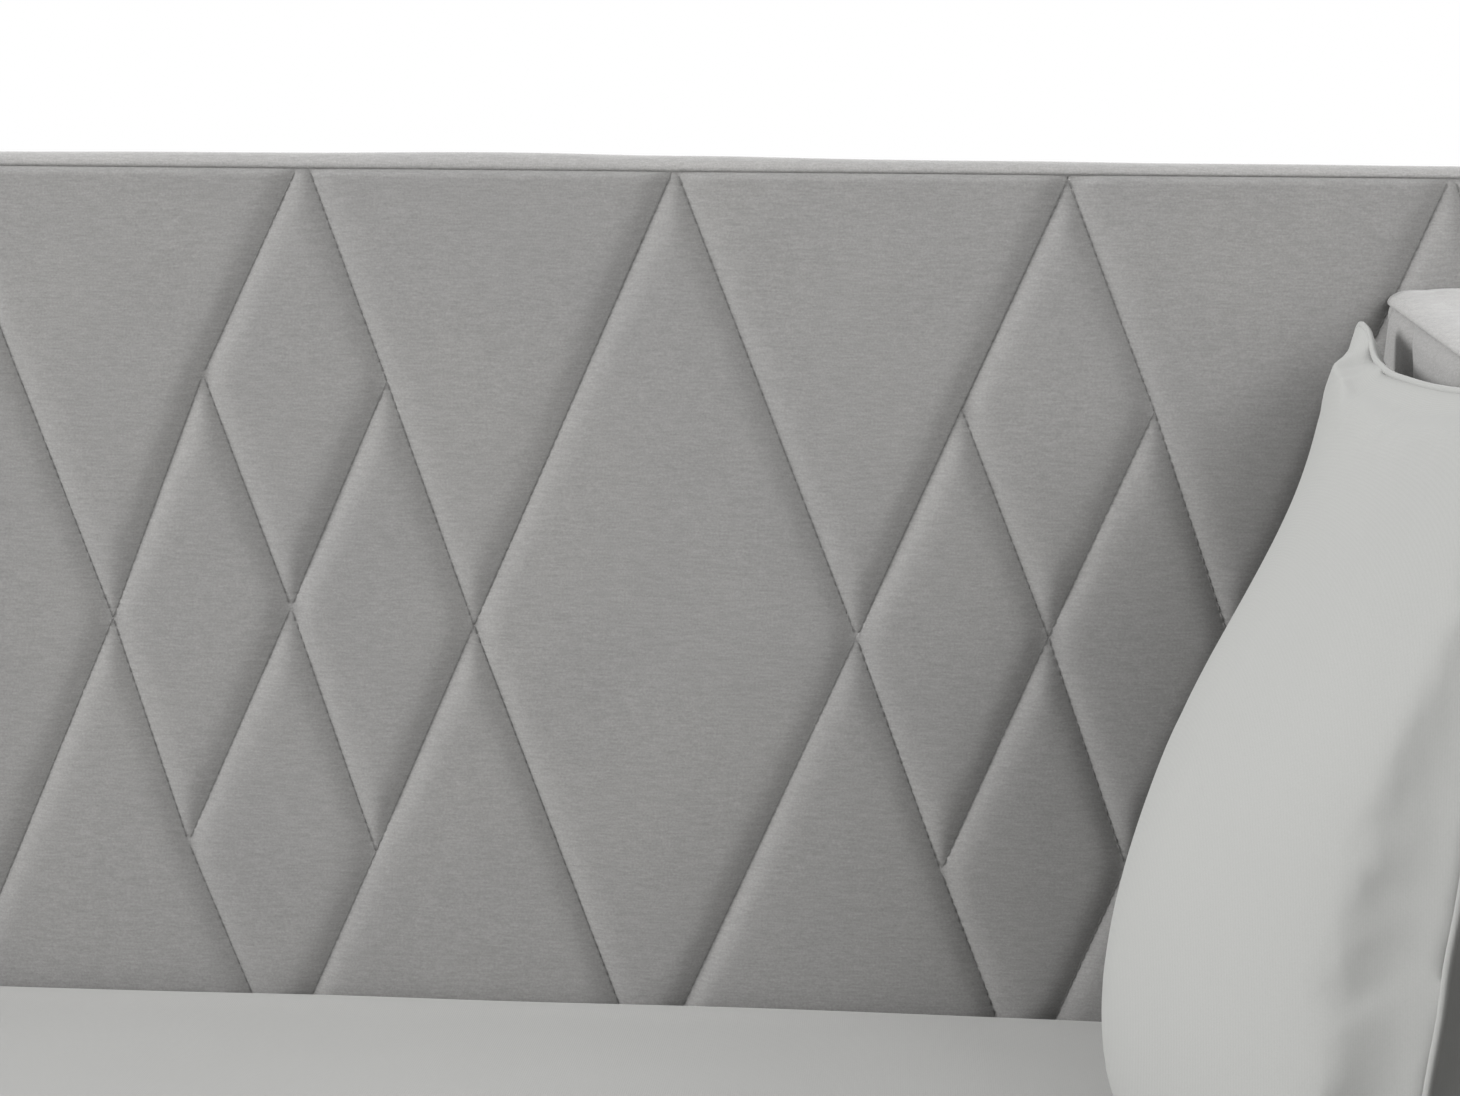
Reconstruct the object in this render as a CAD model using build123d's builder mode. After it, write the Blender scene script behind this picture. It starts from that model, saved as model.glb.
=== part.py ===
# Daybed with a diamond-quilted back, two padded arms, an upholstered front rail,
# a slatted base, a loose mattress and a loose cushion.
# Millimetres, +Z up, X along the length, the open seat side faces -Y,
# origin on the floor under the middle of the daybed.
import math
import os

from build123d import *

os.makedirs("parts", exist_ok=True)

# ---------------------------------------------------------------- dimensions
X_OUT = 1040.0          # half of the overall length
Y_OUT = 555.0           # half of the overall depth
Z_BASE = 120.0          # underside of the upholstered frames, top of the legs
BACK_TOP = 915.0        # top of the back
ARM_REAR = 850.0        # arm height at the back
ARM_FRONT = 720.0       # arm height at the front, before rounding
ARM_ROUND = 120.0       # radius of the front top corner of the arm
SEAT_X = 965.0          # half of the clear length between the arms

# layers of the back, front to rear
YB_QUILT = 475.0        # front of the quilted cover
YB_FOAM = 487.0
YB_BOARD = 500.0
YB_FRAME = 506.0
YB_REARBOARD = 546.0
YB_REARCOVER = 549.0
BORDER_TOP = 10.0       # thickness of the boxing strip over the top
BORDER_END = 8.0        # thickness of the boxing strips down the ends
XB = X_OUT - BORDER_END     # half length of the timber back
ZB = BACK_TOP - BORDER_TOP  # top of the timber back
Z_QUILT0 = 250.0        # lower edge of the quilted cover
TIMBER = 50.0           # width of stiles and rails

# layers of an arm, inside to outside
XA_FOAM = 975.0
XA_BOARD = 983.0
XA_FRAME = 987.0
XA_OUTBOARD = 1027.0
XA_OUTCOVER = 1030.0
ARM_BORDER = 10.0       # thickness of the boxing strip round an arm
GLUE = 0.2              # glue line between timbers, butt gap between strips

# front rail
YF0, YF1 = -Y_OUT, -510.0
ZF0, ZF1 = Z_BASE, 330.0
RAIL_PAD = 10.0         # padding round the rail core
RAIL_X = SEAT_X - 0.5

# slatted base
SLAT_TOP = 262.0
SLAT_T = 15.0
SLAT_W = 70.0
SLAT_PITCH = 150.0
SLAT_N = 13
CLEAT_H = 30.0
CLEAT_D = 30.0
Z_CLEAT1 = SLAT_TOP - SLAT_T
Z_CLEAT0 = Z_CLEAT1 - CLEAT_H
BEAM_W, BEAM_H = 40.0, 60.0
BEAM_Y = -17.0
CLEG_X = 400.0          # centre legs at +-X
CLEG = 45.0

# legs
LEG_TOP_D = 56.0
LEG_FOOT_D = 34.0
GLIDE_H = 6.0
LEG_X = 1007.0
LEG_YF = -500.0
LEG_YR = 526.0

# mattress, 75 x 38 inch
MAT_L, MAT_W, MAT_H = 1905.0, 965.0, 200.0
MAT_Y0 = -494.0
MAT_SKIN = 4.0

# fixing bolts
M8 = 4.0                # bolt radius
CLEAR8 = 4.5            # clearance hole radius
INS_R = 6.0             # threaded insert radius
BR_T = 4.0              # bracket thickness
BR_W = 60.0
BR_Z = (155.0, 185.0)   # bolt heights in the corner brackets
ARM_BOLT_Z = (215.0, 450.0, 700.0)
CLEAT_X = (-800.0, -400.0, 0.0, 400.0, 800.0)


# ---------------------------------------------------------------- helpers
def bx(x0, x1, y0, y1, z0, z1, mode=Mode.ADD):
    """Box between two corners, in the open part."""
    x0, x1 = min(x0, x1), max(x0, x1)
    with Locations(((x0 + x1) / 2, (y0 + y1) / 2, (z0 + z1) / 2)):
        Box(x1 - x0, y1 - y0, z1 - z0, mode=mode)


def rod(axis, a, b, p, q, r, mode=Mode.ADD):
    """Round bar along one axis from a to b; p and q are the other two coordinates."""
    a, b = min(a, b), max(a, b)
    m = (a + b) / 2
    if axis == "x":
        at, rot = (m, p, q), (0, 90, 0)
    elif axis == "y":
        at, rot = (p, m, q), (90, 0, 0)
    else:
        at, rot = (p, q, m), (0, 0, 0)
    with Locations(at):
        Cylinder(r, b - a, rotation=rot, mode=mode)


ARM_SLOPE = math.atan2(ARM_REAR - ARM_FRONT, 2 * Y_OUT - 80.0)


ARM_CY = -Y_OUT + ARM_ROUND     # centre of the rounded front corner
ARM_CZ = ARM_FRONT + ARM_ROUND * math.tan(ARM_SLOPE) - ARM_ROUND / math.cos(ARM_SLOPE)
ARM_A = 90.0 + math.degrees(ARM_SLOPE)   # direction square to the sloped top


def arm_line(y, off):
    """Height of the sloped top of the arm at y, moved in by off."""
    return ARM_FRONT + (y + Y_OUT) * math.tan(ARM_SLOPE) - off / math.cos(ARM_SLOPE)


def arm_tangent(off):
    """Point where the sloped top runs into the rounded corner, moved in by off."""
    r = ARM_ROUND - off
    return (ARM_CY - r * math.sin(ARM_SLOPE), ARM_CZ + r * math.cos(ARM_SLOPE))


def arm_slab(x0, x1, off):
    """Slab with the side outline of the arm, moved in by off along top and front, in the open part."""
    x0, x1 = min(x0, x1), max(x0, x1)
    r = ARM_ROUND - off
    with BuildSketch(Plane.YZ.offset(x0)) as side:
        with BuildLine():
            Polyline((ARM_CY - r, ARM_CZ), (ARM_CY - r, Z_BASE), (YB_QUILT, Z_BASE),
                     (YB_QUILT, arm_line(YB_QUILT, off)), arm_tangent(off))
            CenterArc((ARM_CY, ARM_CZ), r, ARM_A, 180.0 - ARM_A)
        make_face()
    extrude(side.sketch, amount=x1 - x0)


def arm_plate(x0, x1, points):
    """Straight-sided plate on the side of the arm, in the open part."""
    x0, x1 = min(x0, x1), max(x0, x1)
    with BuildSketch(Plane.YZ.offset(x0)) as side:
        with BuildLine():
            Polyline(*points, close=True)
        make_face()
    extrude(side.sketch, amount=x1 - x0)


def save(builder, label):
    builder.part.label = label
    export_step(builder.part, "parts/" + label + ".step")


# ---------------------------------------------------------------- back
with BuildPart() as back_top_rail:
    bx(-XB, XB, YB_FRAME, YB_REARBOARD, ZB - TIMBER, ZB)
save(back_top_rail, "back_top_rail")

with BuildPart() as back_bottom_rail:
    bx(-XB, XB, YB_FRAME, YB_REARBOARD, Z_BASE, Z_QUILT0)
    for s in (-1, 1):
        rod("y", YB_FRAME, YB_REARBOARD, s * LEG_X, ARM_BOLT_Z[0], CLEAR8, Mode.SUBTRACT)
        rod("z", Z_BASE, Z_BASE + 30, s * LEG_X, LEG_YR, INS_R, Mode.SUBTRACT)
        rod("z", Z_BASE + 30, Z_BASE + 48, s * LEG_X, LEG_YR, CLEAR8, Mode.SUBTRACT)
    for x in CLEAT_X:
        rod("y", YB_FRAME, YB_FRAME + 26, x, Z_CLEAT0 + 15, 2.35, Mode.SUBTRACT)
save(back_bottom_rail, "back_bottom_rail")

with BuildPart() as back_end_stiles:
    for s in (-1, 1):
        bx(s * (XB - TIMBER), s * XB, YB_FRAME, YB_REARBOARD, Z_QUILT0, ZB - TIMBER)
        for z in ARM_BOLT_Z[1:]:
            rod("y", YB_FRAME, YB_REARBOARD, s * LEG_X, z, CLEAR8, Mode.SUBTRACT)
save(back_end_stiles, "back_end_stiles")

with BuildPart() as back_mid_stiles:
    for x in (-490.0, 0.0, 490.0):
        bx(x - TIMBER / 2, x + TIMBER / 2, YB_FRAME, YB_REARBOARD, Z_QUILT0, ZB - TIMBER)
save(back_mid_stiles, "back_mid_stiles")

with BuildPart() as back_face_board:
    bx(-XB, XB, YB_BOARD, YB_FRAME, Z_QUILT0, ZB)
    for s in (-1, 1):
        for z in ARM_BOLT_Z[1:]:
            rod("y", YB_BOARD, YB_FRAME, s * LEG_X, z, CLEAR8, Mode.SUBTRACT)
save(back_face_board, "back_face_board")

with BuildPart() as back_foam:
    bx(-XB, XB, YB_FOAM, YB_BOARD, Z_QUILT0, ZB)
    for s in (-1, 1):
        for z in ARM_BOLT_Z[1:]:
            rod("y", YB_FOAM, YB_BOARD, s * LEG_X, z, CLEAR8, Mode.SUBTRACT)
save(back_foam, "back_foam")

with BuildPart() as back_quilted_cover:
    bx(-XB, XB, YB_QUILT, YB_FOAM, Z_QUILT0, ZB)
    for s in (-1, 1):
        for z in ARM_BOLT_Z[1:]:
            rod("y", YB_QUILT, YB_FOAM, s * LEG_X, z, CLEAR8, Mode.SUBTRACT)
save(back_quilted_cover, "back_quilted_cover")

with BuildPart() as back_border:
    bx(-X_OUT, X_OUT, YB_QUILT, Y_OUT, ZB, BACK_TOP)
    fillet(back_border.edges().filter_by(Axis.X).group_by(Axis.Z)[-1], 5.0)
    for s in (-1, 1):
        bx(s * XB, s * X_OUT, YB_QUILT, Y_OUT, Z_BASE, ZB - GLUE)
save(back_border, "back_border")

with BuildPart() as back_rear_board:
    bx(-XB, XB, YB_REARBOARD, YB_REARCOVER, Z_BASE, ZB)
    for s in (-1, 1):
        for z in ARM_BOLT_Z:
            rod("y", YB_REARBOARD, YB_REARCOVER, s * LEG_X, z, 12.0, Mode.SUBTRACT)
save(back_rear_board, "back_rear_board")

with BuildPart() as back_rear_cover:
    bx(-XB, XB, YB_REARCOVER, Y_OUT, Z_BASE, ZB)
    for s in (-1, 1):
        for z in ARM_BOLT_Z:
            rod("y", YB_REARCOVER, Y_OUT, s * LEG_X, z, 12.0, Mode.SUBTRACT)
save(back_rear_cover, "back_rear_cover")

# rear rail in front of the lower back timber, full length, the arms butt on it
with BuildPart() as rear_rail:
    bx(-XB, XB, YB_QUILT, YB_FRAME, Z_BASE + 2, Z_QUILT0 - 2)
    for s in (-1, 1):
        rod("y", YB_QUILT, YB_FRAME, s * LEG_X, ARM_BOLT_Z[0], CLEAR8, Mode.SUBTRACT)
        for z in BR_Z:
            rod("y", YB_QUILT, YB_QUILT + 24, s * (SEAT_X - 40), z, INS_R, Mode.SUBTRACT)
    for x in CLEAT_X:
        rod("y", YB_QUILT, YB_FRAME, x, Z_CLEAT0 + 15, 2.35, Mode.SUBTRACT)
save(rear_rail, "rear_rail")

with BuildPart() as rear_cleat:
    bx(-940.0, 940.0, YB_QUILT - CLEAT_D, YB_QUILT, Z_CLEAT0, Z_CLEAT1)
    for x in CLEAT_X:
        rod("y", YB_QUILT - CLEAT_D, YB_QUILT, x, Z_CLEAT0 + 15, 2.35, Mode.SUBTRACT)
    for x in (-900.0, 0.0, 900.0):
        rod("z", Z_CLEAT0 + 2, Z_CLEAT1, x + 20, YB_QUILT - 15, 2.35, Mode.SUBTRACT)
save(rear_cleat, "rear_cleat")


# ---------------------------------------------------------------- arms
BR_Y = (-470.0, 435.0)          # bolt positions through the arms
HANG_Y = (BEAM_Y - 35, BEAM_Y + 35)
HANG_Z = 218.0


def arm_holes(s, x0, x1):
    """Bracket bolt and hanger screw holes through one inner layer of an arm."""
    for y in BR_Y:
        for z in BR_Z:
            rod("x", s * x0, s * x1, y, z, CLEAR8, Mode.SUBTRACT)
    for y in HANG_Y:
        rod("x", s * x0, s * x1, y, HANG_Z, 2.35, Mode.SUBTRACT)


for s, side in ((-1, "left"), (1, "right")):
    inner, outer = XA_FRAME, XA_OUTBOARD

    # timbers of the arm: sloped top rail, corner block, stiles, bottom rail
    tb = arm_tangent(ARM_BORDER)
    zc = 590.0
    with BuildPart() as arm_timbers:
        ya, yb = tb[0] + GLUE, 425.0 - GLUE
        arm_plate(s * inner, s * outer, [
            (ya, arm_line(ya, ARM_BORDER + TIMBER)), (yb, arm_line(yb, ARM_BORDER + TIMBER)),
            (yb, arm_line(yb, ARM_BORDER)), (ya, arm_line(ya, ARM_BORDER))])
        with BuildSketch(Plane.YZ.offset(min(s * inner, s * outer))) as block:
            with BuildLine():
                Polyline((-545.0, ARM_CZ), (-545.0, zc), (tb[0], zc), tb)
                CenterArc((ARM_CY, ARM_CZ), ARM_ROUND - ARM_BORDER, ARM_A, 180.0 - ARM_A)
            make_face()
        extrude(block.sketch, amount=outer - inner)
        bx(s * inner, s * outer, -545.0, -495.0, Z_QUILT0 + GLUE, zc - GLUE)
        arm_plate(s * inner, s * outer, [
            (425.0, Z_QUILT0 + GLUE), (YB_QUILT, Z_QUILT0 + GLUE),
            (YB_QUILT, arm_line(YB_QUILT, ARM_BORDER)), (425.0, arm_line(425.0, ARM_BORDER))])
        for z in ARM_BOLT_Z[1:]:
            rod("y", 447.0, YB_QUILT, s * LEG_X, z, INS_R, Mode.SUBTRACT)
            rod("y", 435.0, 447.0, s * LEG_X, z, CLEAR8, Mode.SUBTRACT)
        low = ARM_BORDER + TIMBER + GLUE
        arm_plate(s * inner, s * outer, [
            (-60.0, Z_QUILT0 + GLUE), (-10.0, Z_QUILT0 + GLUE), (-10.0, arm_line(-10.0, low)), (-60.0, arm_line(-60.0, low))])
        bx(s * inner, s * outer, -545.0, YB_QUILT, Z_BASE, Z_QUILT0)
        for y in BR_Y:
            for z in BR_Z:
                rod("x", s * inner, s * (inner + 22), y, z, INS_R, Mode.SUBTRACT)
        for y in HANG_Y:
            rod("x", s * inner, s * (inner + 26), y, HANG_Z, 2.35, Mode.SUBTRACT)
        rod("y", 447.0, YB_QUILT, s * LEG_X, ARM_BOLT_Z[0], INS_R, Mode.SUBTRACT)
        rod("y", 435.0, 447.0, s * LEG_X, ARM_BOLT_Z[0], CLEAR8, Mode.SUBTRACT)
        rod("z", Z_BASE, Z_BASE + 30, s * LEG_X, LEG_YF, INS_R, Mode.SUBTRACT)
        rod("z", Z_BASE + 30, Z_BASE + 48, s * LEG_X, LEG_YF, CLEAR8, Mode.SUBTRACT)
    save(arm_timbers, side + "_arm_frame")

    with BuildPart() as arm_inner_board:
        arm_slab(s * XA_BOARD, s * XA_FRAME, ARM_BORDER)
        arm_holes(s, XA_BOARD, XA_FRAME)
    save(arm_inner_board, side + "_arm_inner_board")

    with BuildPart() as arm_foam:
        arm_slab(s * XA_FOAM, s * XA_BOARD, ARM_BORDER)
        arm_holes(s, XA_FOAM, XA_BOARD)
    save(arm_foam, side + "_arm_foam")

    with BuildPart() as arm_quilted_cover:
        arm_slab(s * SEAT_X, s * XA_FOAM, ARM_BORDER)
        arm_holes(s, SEAT_X, XA_FOAM)
    save(arm_quilted_cover, side + "_arm_quilted_cover")

    with BuildPart() as arm_outer_board:
        arm_slab(s * XA_OUTBOARD, s * XA_OUTCOVER, ARM_BORDER)
    save(arm_outer_board, side + "_arm_outer_board")

    with BuildPart() as arm_outer_cover:
        arm_slab(s * XA_OUTCOVER, s * X_OUT, ARM_BORDER)
    save(arm_outer_cover, side + "_arm_outer_cover")

    # boxing strip: sloped top length, rounded corner length, front length
    t0, t1 = arm_tangent(0.0), arm_tangent(ARM_BORDER)
    with BuildPart() as arm_border:
        arm_plate(s * SEAT_X, s * X_OUT, [
            (t1[0] + GLUE, arm_line(t1[0] + GLUE, ARM_BORDER)), (YB_QUILT, arm_line(YB_QUILT, ARM_BORDER)),
            (YB_QUILT, arm_line(YB_QUILT, 0.0)), (t0[0] + GLUE, arm_line(t0[0] + GLUE, 0.0))])
        with BuildSketch(Plane.YZ.offset(min(s * SEAT_X, s * X_OUT))) as band:
            with BuildLine():
                CenterArc((ARM_CY, ARM_CZ), ARM_ROUND, ARM_A, 180.0 - ARM_A)
                Line((ARM_CY - ARM_ROUND, ARM_CZ), (ARM_CY - ARM_ROUND + ARM_BORDER, ARM_CZ))
                CenterArc((ARM_CY, ARM_CZ), ARM_ROUND - ARM_BORDER, ARM_A, 180.0 - ARM_A)
                Line(t1, t0)
            make_face()
        extrude(band.sketch, amount=X_OUT - SEAT_X)
        bx(s * SEAT_X, s * X_OUT, -Y_OUT, -Y_OUT + ARM_BORDER, Z_BASE, ARM_CZ - GLUE)
    save(arm_border, side + "_arm_border")


# ---------------------------------------------------------------- front rail
with BuildPart() as front_rail_core:
    bx(-RAIL_X, RAIL_X, YF0 + RAIL_PAD, YF1 - RAIL_PAD, ZF0 + RAIL_PAD, ZF1 - RAIL_PAD)
    for s in (-1, 1):
        for z in BR_Z:
            rod("y", YF1 - RAIL_PAD - 22, YF1 - RAIL_PAD, s * (SEAT_X - 40), z, INS_R, Mode.SUBTRACT)
    for x in CLEAT_X:
        rod("y", YF1 - RAIL_PAD - 20, YF1 - RAIL_PAD, x, Z_CLEAT0 + 15, 2.35, Mode.SUBTRACT)
save(front_rail_core, "front_rail_core")

with BuildPart() as front_rail_cover:
    bx(-RAIL_X, RAIL_X, YF0, YF1, ZF0, ZF1)
    fillet(front_rail_cover.edges().filter_by(Axis.X), 6.0)
    bx(-RAIL_X, RAIL_X, YF0 + RAIL_PAD, YF1 - RAIL_PAD, ZF0 + RAIL_PAD, ZF1 - RAIL_PAD, Mode.SUBTRACT)
    for s in (-1, 1):
        for z in BR_Z:
            rod("y", YF1 - RAIL_PAD, YF1, s * (SEAT_X - 40), z, CLEAR8, Mode.SUBTRACT)
    for x in CLEAT_X:
        rod("y", YF1 - RAIL_PAD, YF1, x, Z_CLEAT0 + 15, 2.35, Mode.SUBTRACT)
save(front_rail_cover, "front_rail_cover")

with BuildPart() as front_cleat:
    bx(-940.0, 940.0, YF1, YF1 + CLEAT_D, Z_CLEAT0, Z_CLEAT1)
    for x in CLEAT_X:
        rod("y", YF1, YF1 + CLEAT_D, x, Z_CLEAT0 + 15, 2.35, Mode.SUBTRACT)
    for x in (-900.0, 0.0, 900.0):
        rod("z", Z_CLEAT0 + 2, Z_CLEAT1, x + 20, YF1 + 15, 2.35, Mode.SUBTRACT)
save(front_cleat, "front_cleat")

with BuildPart() as front_cleat_screws:
    for x in CLEAT_X:
        rod("y", YF1 + CLEAT_D, YF1 + CLEAT_D + 3, x, Z_CLEAT0 + 15, 4.5)
        rod("y", YF1 - RAIL_PAD - 18, YF1 + CLEAT_D, x, Z_CLEAT0 + 15, 2.25)
save(front_cleat_screws, "front_cleat_screws")

with BuildPart() as rear_cleat_screws:
    for x in CLEAT_X:
        rod("y", YB_QUILT - CLEAT_D - 3, YB_QUILT - CLEAT_D, x, Z_CLEAT0 + 15, 4.5)
        rod("y", YB_QUILT - CLEAT_D, YB_FRAME + 24, x, Z_CLEAT0 + 15, 2.25)
save(rear_cleat_screws, "rear_cleat_screws")


# ---------------------------------------------------------------- slatted base
SLAT_Y0, SLAT_Y1 = YF1 + 2, YB_QUILT - 2
SLAT_X = [(i - (SLAT_N - 1) / 2) * SLAT_PITCH for i in range(SLAT_N)]
SCREW_AT = [(x + 20, y) for x in (-900.0, 0.0, 900.0) for y in (YF1 + 15, YB_QUILT - 15)]

with BuildPart() as slats:
    for x in SLAT_X:
        bx(x - SLAT_W / 2, x + SLAT_W / 2, SLAT_Y0, SLAT_Y1, Z_CLEAT1, SLAT_TOP)
    fillet(slats.edges().filter_by(Axis.Y), 2.5)
    for x, y in SCREW_AT:
        rod("z", Z_CLEAT1, SLAT_TOP, x, y, 2.35, Mode.SUBTRACT)
        with Locations((x, y, SLAT_TOP - 1.6)):
            Cone(2.35, 5.0, 3.2, mode=Mode.SUBTRACT)
save(slats, "slats")

with BuildPart() as slat_straps:
    for y in (-300.0, 280.0):
        bx(-935.0, 935.0, y - 15, y + 15, Z_CLEAT1 - 2, Z_CLEAT1)
save(slat_straps, "slat_straps")

with BuildPart() as slat_screws:
    for x, y in SCREW_AT:
        rod("z", Z_CLEAT0 + 4, SLAT_TOP - 3.2, x, y, 2.2)
        with Locations((x, y, SLAT_TOP - 1.8)):
            Cone(2.2, 4.7, 2.9)
save(slat_screws, "slat_screws")

with BuildPart() as centre_beam:
    bx(-SEAT_X + 3, SEAT_X - 3, BEAM_Y - BEAM_W / 2, BEAM_Y + BEAM_W / 2, Z_CLEAT1 - BEAM_H, Z_CLEAT1)
    for s in (-1, 1):
        rod("z", Z_CLEAT1 - BEAM_H, Z_CLEAT1 - BEAM_H + 31, s * CLEG_X, BEAM_Y, 5.0, Mode.SUBTRACT)
save(centre_beam, "centre_beam")

with BuildPart() as beam_hangers:
    for s in (-1, 1):
        xi, xo = SEAT_X - 62, SEAT_X
        bx(s * (xo - 2), s * xo, BEAM_Y - 45, BEAM_Y + 45, 180.0, 246.0)
        bx(s * xi, s * xo, BEAM_Y - BEAM_W / 2 - 2, BEAM_Y + BEAM_W / 2 + 2, 185.0, 187.0)
        for t in (-1, 1):
            y0 = BEAM_Y + t * BEAM_W / 2
            bx(s * xi, s * xo, min(y0, y0 + 2 * t), max(y0, y0 + 2 * t), 185.0, 230.0)
        for y in HANG_Y:
            rod("x", s * (xo - 2), s * xo, y, HANG_Z, 2.35, Mode.SUBTRACT)
save(beam_hangers, "beam_hangers")

with BuildPart() as hanger_screws:
    for s in (-1, 1):
        for y in HANG_Y:
            rod("x", s * (SEAT_X - 5), s * (SEAT_X - 2), y, HANG_Z, 4.5)
            rod("x", s * (SEAT_X - 2), s * (XA_FRAME + 24), y, HANG_Z, 2.25)
save(hanger_screws, "hanger_screws")

with BuildPart() as centre_legs:
    for s in (-1, 1):
        bx(s * CLEG_X - CLEG / 2, s * CLEG_X + CLEG / 2, BEAM_Y - CLEG / 2, BEAM_Y + CLEG / 2,
           GLIDE_H, Z_CLEAT1 - BEAM_H)
        rod("z", Z_CLEAT1 - BEAM_H - 31, Z_CLEAT1 - BEAM_H, s * CLEG_X, BEAM_Y, 5.0, Mode.SUBTRACT)
    chamfer(centre_legs.edges().filter_by(Axis.Z).filter_by(GeomType.LINE), 3.0)
save(centre_legs, "centre_legs")

with BuildPart() as centre_leg_dowels:
    for s in (-1, 1):
        rod("z", Z_CLEAT1 - BEAM_H - 30, Z_CLEAT1 - BEAM_H + 30, s * CLEG_X, BEAM_Y, 4.9)
save(centre_leg_dowels, "centre_leg_dowels")

with BuildPart() as centre_leg_glides:
    for s in (-1, 1):
        rod("z", 0.0, GLIDE_H, s * CLEG_X, BEAM_Y, 17.0)
    chamfer(centre_leg_glides.edges().group_by(Axis.Z)[0], 2.0)
save(centre_leg_glides, "centre_leg_glides")


# ---------------------------------------------------------------- corner fixings
# four steel angles: front rail to arms, rear rail to arms
CORNERS = [(s, t) for s in (-1, 1) for t in (-1, 1)]


def rail_face(t):
    return YF1 if t < 0 else YB_QUILT


with BuildPart() as corner_brackets:
    for s, t in CORNERS:
        f = rail_face(t)
        y0, y1 = (f, f + BR_W) if t < 0 else (f - BR_W, f)
        p0, p1 = (f, f + BR_T) if t < 0 else (f - BR_T, f)
        bx(s * (SEAT_X - BR_T), s * SEAT_X, y0, y1, 140.0, 200.0)
        bx(s * (SEAT_X - BR_W), s * SEAT_X, p0, p1, 140.0, 200.0)
        for z in BR_Z:
            rod("x", s * (SEAT_X - BR_T), s * SEAT_X, BR_Y[0] if t < 0 else BR_Y[1], z, CLEAR8, Mode.SUBTRACT)
            rod("y", p0, p1, s * (SEAT_X - 40), z, CLEAR8, Mode.SUBTRACT)
save(corner_brackets, "corner_brackets")

with BuildPart() as bracket_washers:
    for s, t in CORNERS:
        f = rail_face(t)
        d = 1 if t < 0 else -1
        for z in BR_Z:
            y = BR_Y[0] if t < 0 else BR_Y[1]
            rod("x", s * (SEAT_X - BR_T - 1.6), s * (SEAT_X - BR_T), y, z, 8.0)
            rod("x", s * (SEAT_X - BR_T - 1.6), s * (SEAT_X - BR_T), y, z, 4.3, Mode.SUBTRACT)
            rod("y", f + d * BR_T, f + d * (BR_T + 1.6), s * (SEAT_X - 40), z, 8.0)
            rod("y", f + d * BR_T, f + d * (BR_T + 1.6), s * (SEAT_X - 40), z, 4.3, Mode.SUBTRACT)
save(bracket_washers, "bracket_washers")

with BuildPart() as bracket_bolts:
    for s, t in CORNERS:
        f = rail_face(t)
        d = 1 if t < 0 else -1
        for z in BR_Z:
            y = BR_Y[0] if t < 0 else BR_Y[1]
            x0 = SEAT_X - BR_T - 1.6
            rod("x", s * (x0 - 4.5), s * x0, y, z, 7.0)
            rod("x", s * x0, s * (XA_FRAME + 20), y, z, M8)
            y0 = f + d * (BR_T + 1.6)
            rod("y", y0, y0 + d * 4.5, s * (SEAT_X - 40), z, 7.0)
            reach = f - d * 20.0 if t > 0 else f - RAIL_PAD - 20.0
            rod("y", y0, reach, s * (SEAT_X - 40), z, M8)
save(bracket_bolts, "bracket_bolts")

with BuildPart() as bracket_inserts:
    for s, t in CORNERS:
        for z in BR_Z:
            y = BR_Y[0] if t < 0 else BR_Y[1]
            rod("x", s * XA_FRAME, s * (XA_FRAME + 20), y, z, INS_R - 0.1)
            rod("x", s * XA_FRAME, s * (XA_FRAME + 20), y, z, M8 + 0.1, Mode.SUBTRACT)
            a, b = (YF1 - RAIL_PAD - 20, YF1 - RAIL_PAD) if t < 0 else (YB_QUILT, YB_QUILT + 20)
            rod("y", a, b, s * (SEAT_X - 40), z, INS_R - 0.1)
            rod("y", a, b, s * (SEAT_X - 40), z, M8 + 0.1, Mode.SUBTRACT)
save(bracket_inserts, "bracket_inserts")

# bolts from the rear of the back into the arms
with BuildPart() as arm_bolts:
    for s in (-1, 1):
        for z in ARM_BOLT_Z:
            rod("y", YB_REARBOARD + 1.6, YB_REARBOARD + 6.1, s * LEG_X, z, 7.0)
            rod("y", 446.0, YB_REARBOARD + 1.6, s * LEG_X, z, M8)
save(arm_bolts, "arm_bolts")

with BuildPart() as arm_bolt_washers:
    for s in (-1, 1):
        for z in ARM_BOLT_Z:
            rod("y", YB_REARBOARD, YB_REARBOARD + 1.6, s * LEG_X, z, 11.0)
            rod("y", YB_REARBOARD, YB_REARBOARD + 1.6, s * LEG_X, z, 4.3, Mode.SUBTRACT)
save(arm_bolt_washers, "arm_bolt_washers")

with BuildPart() as arm_inserts:
    for s in (-1, 1):
        for z in ARM_BOLT_Z:
            rod("y", 447.0, YB_QUILT, s * LEG_X, z, INS_R - 0.1)
            rod("y", 447.0, YB_QUILT, s * LEG_X, z, M8 + 0.1, Mode.SUBTRACT)
save(arm_inserts, "arm_inserts")

with BuildPart() as arm_bolt_caps:
    for s in (-1, 1):
        for z in ARM_BOLT_Z:
            rod("y", YB_REARBOARD + 6.4, Y_OUT, s * LEG_X, z, 11.8)
save(arm_bolt_caps, "arm_bolt_caps")


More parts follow.
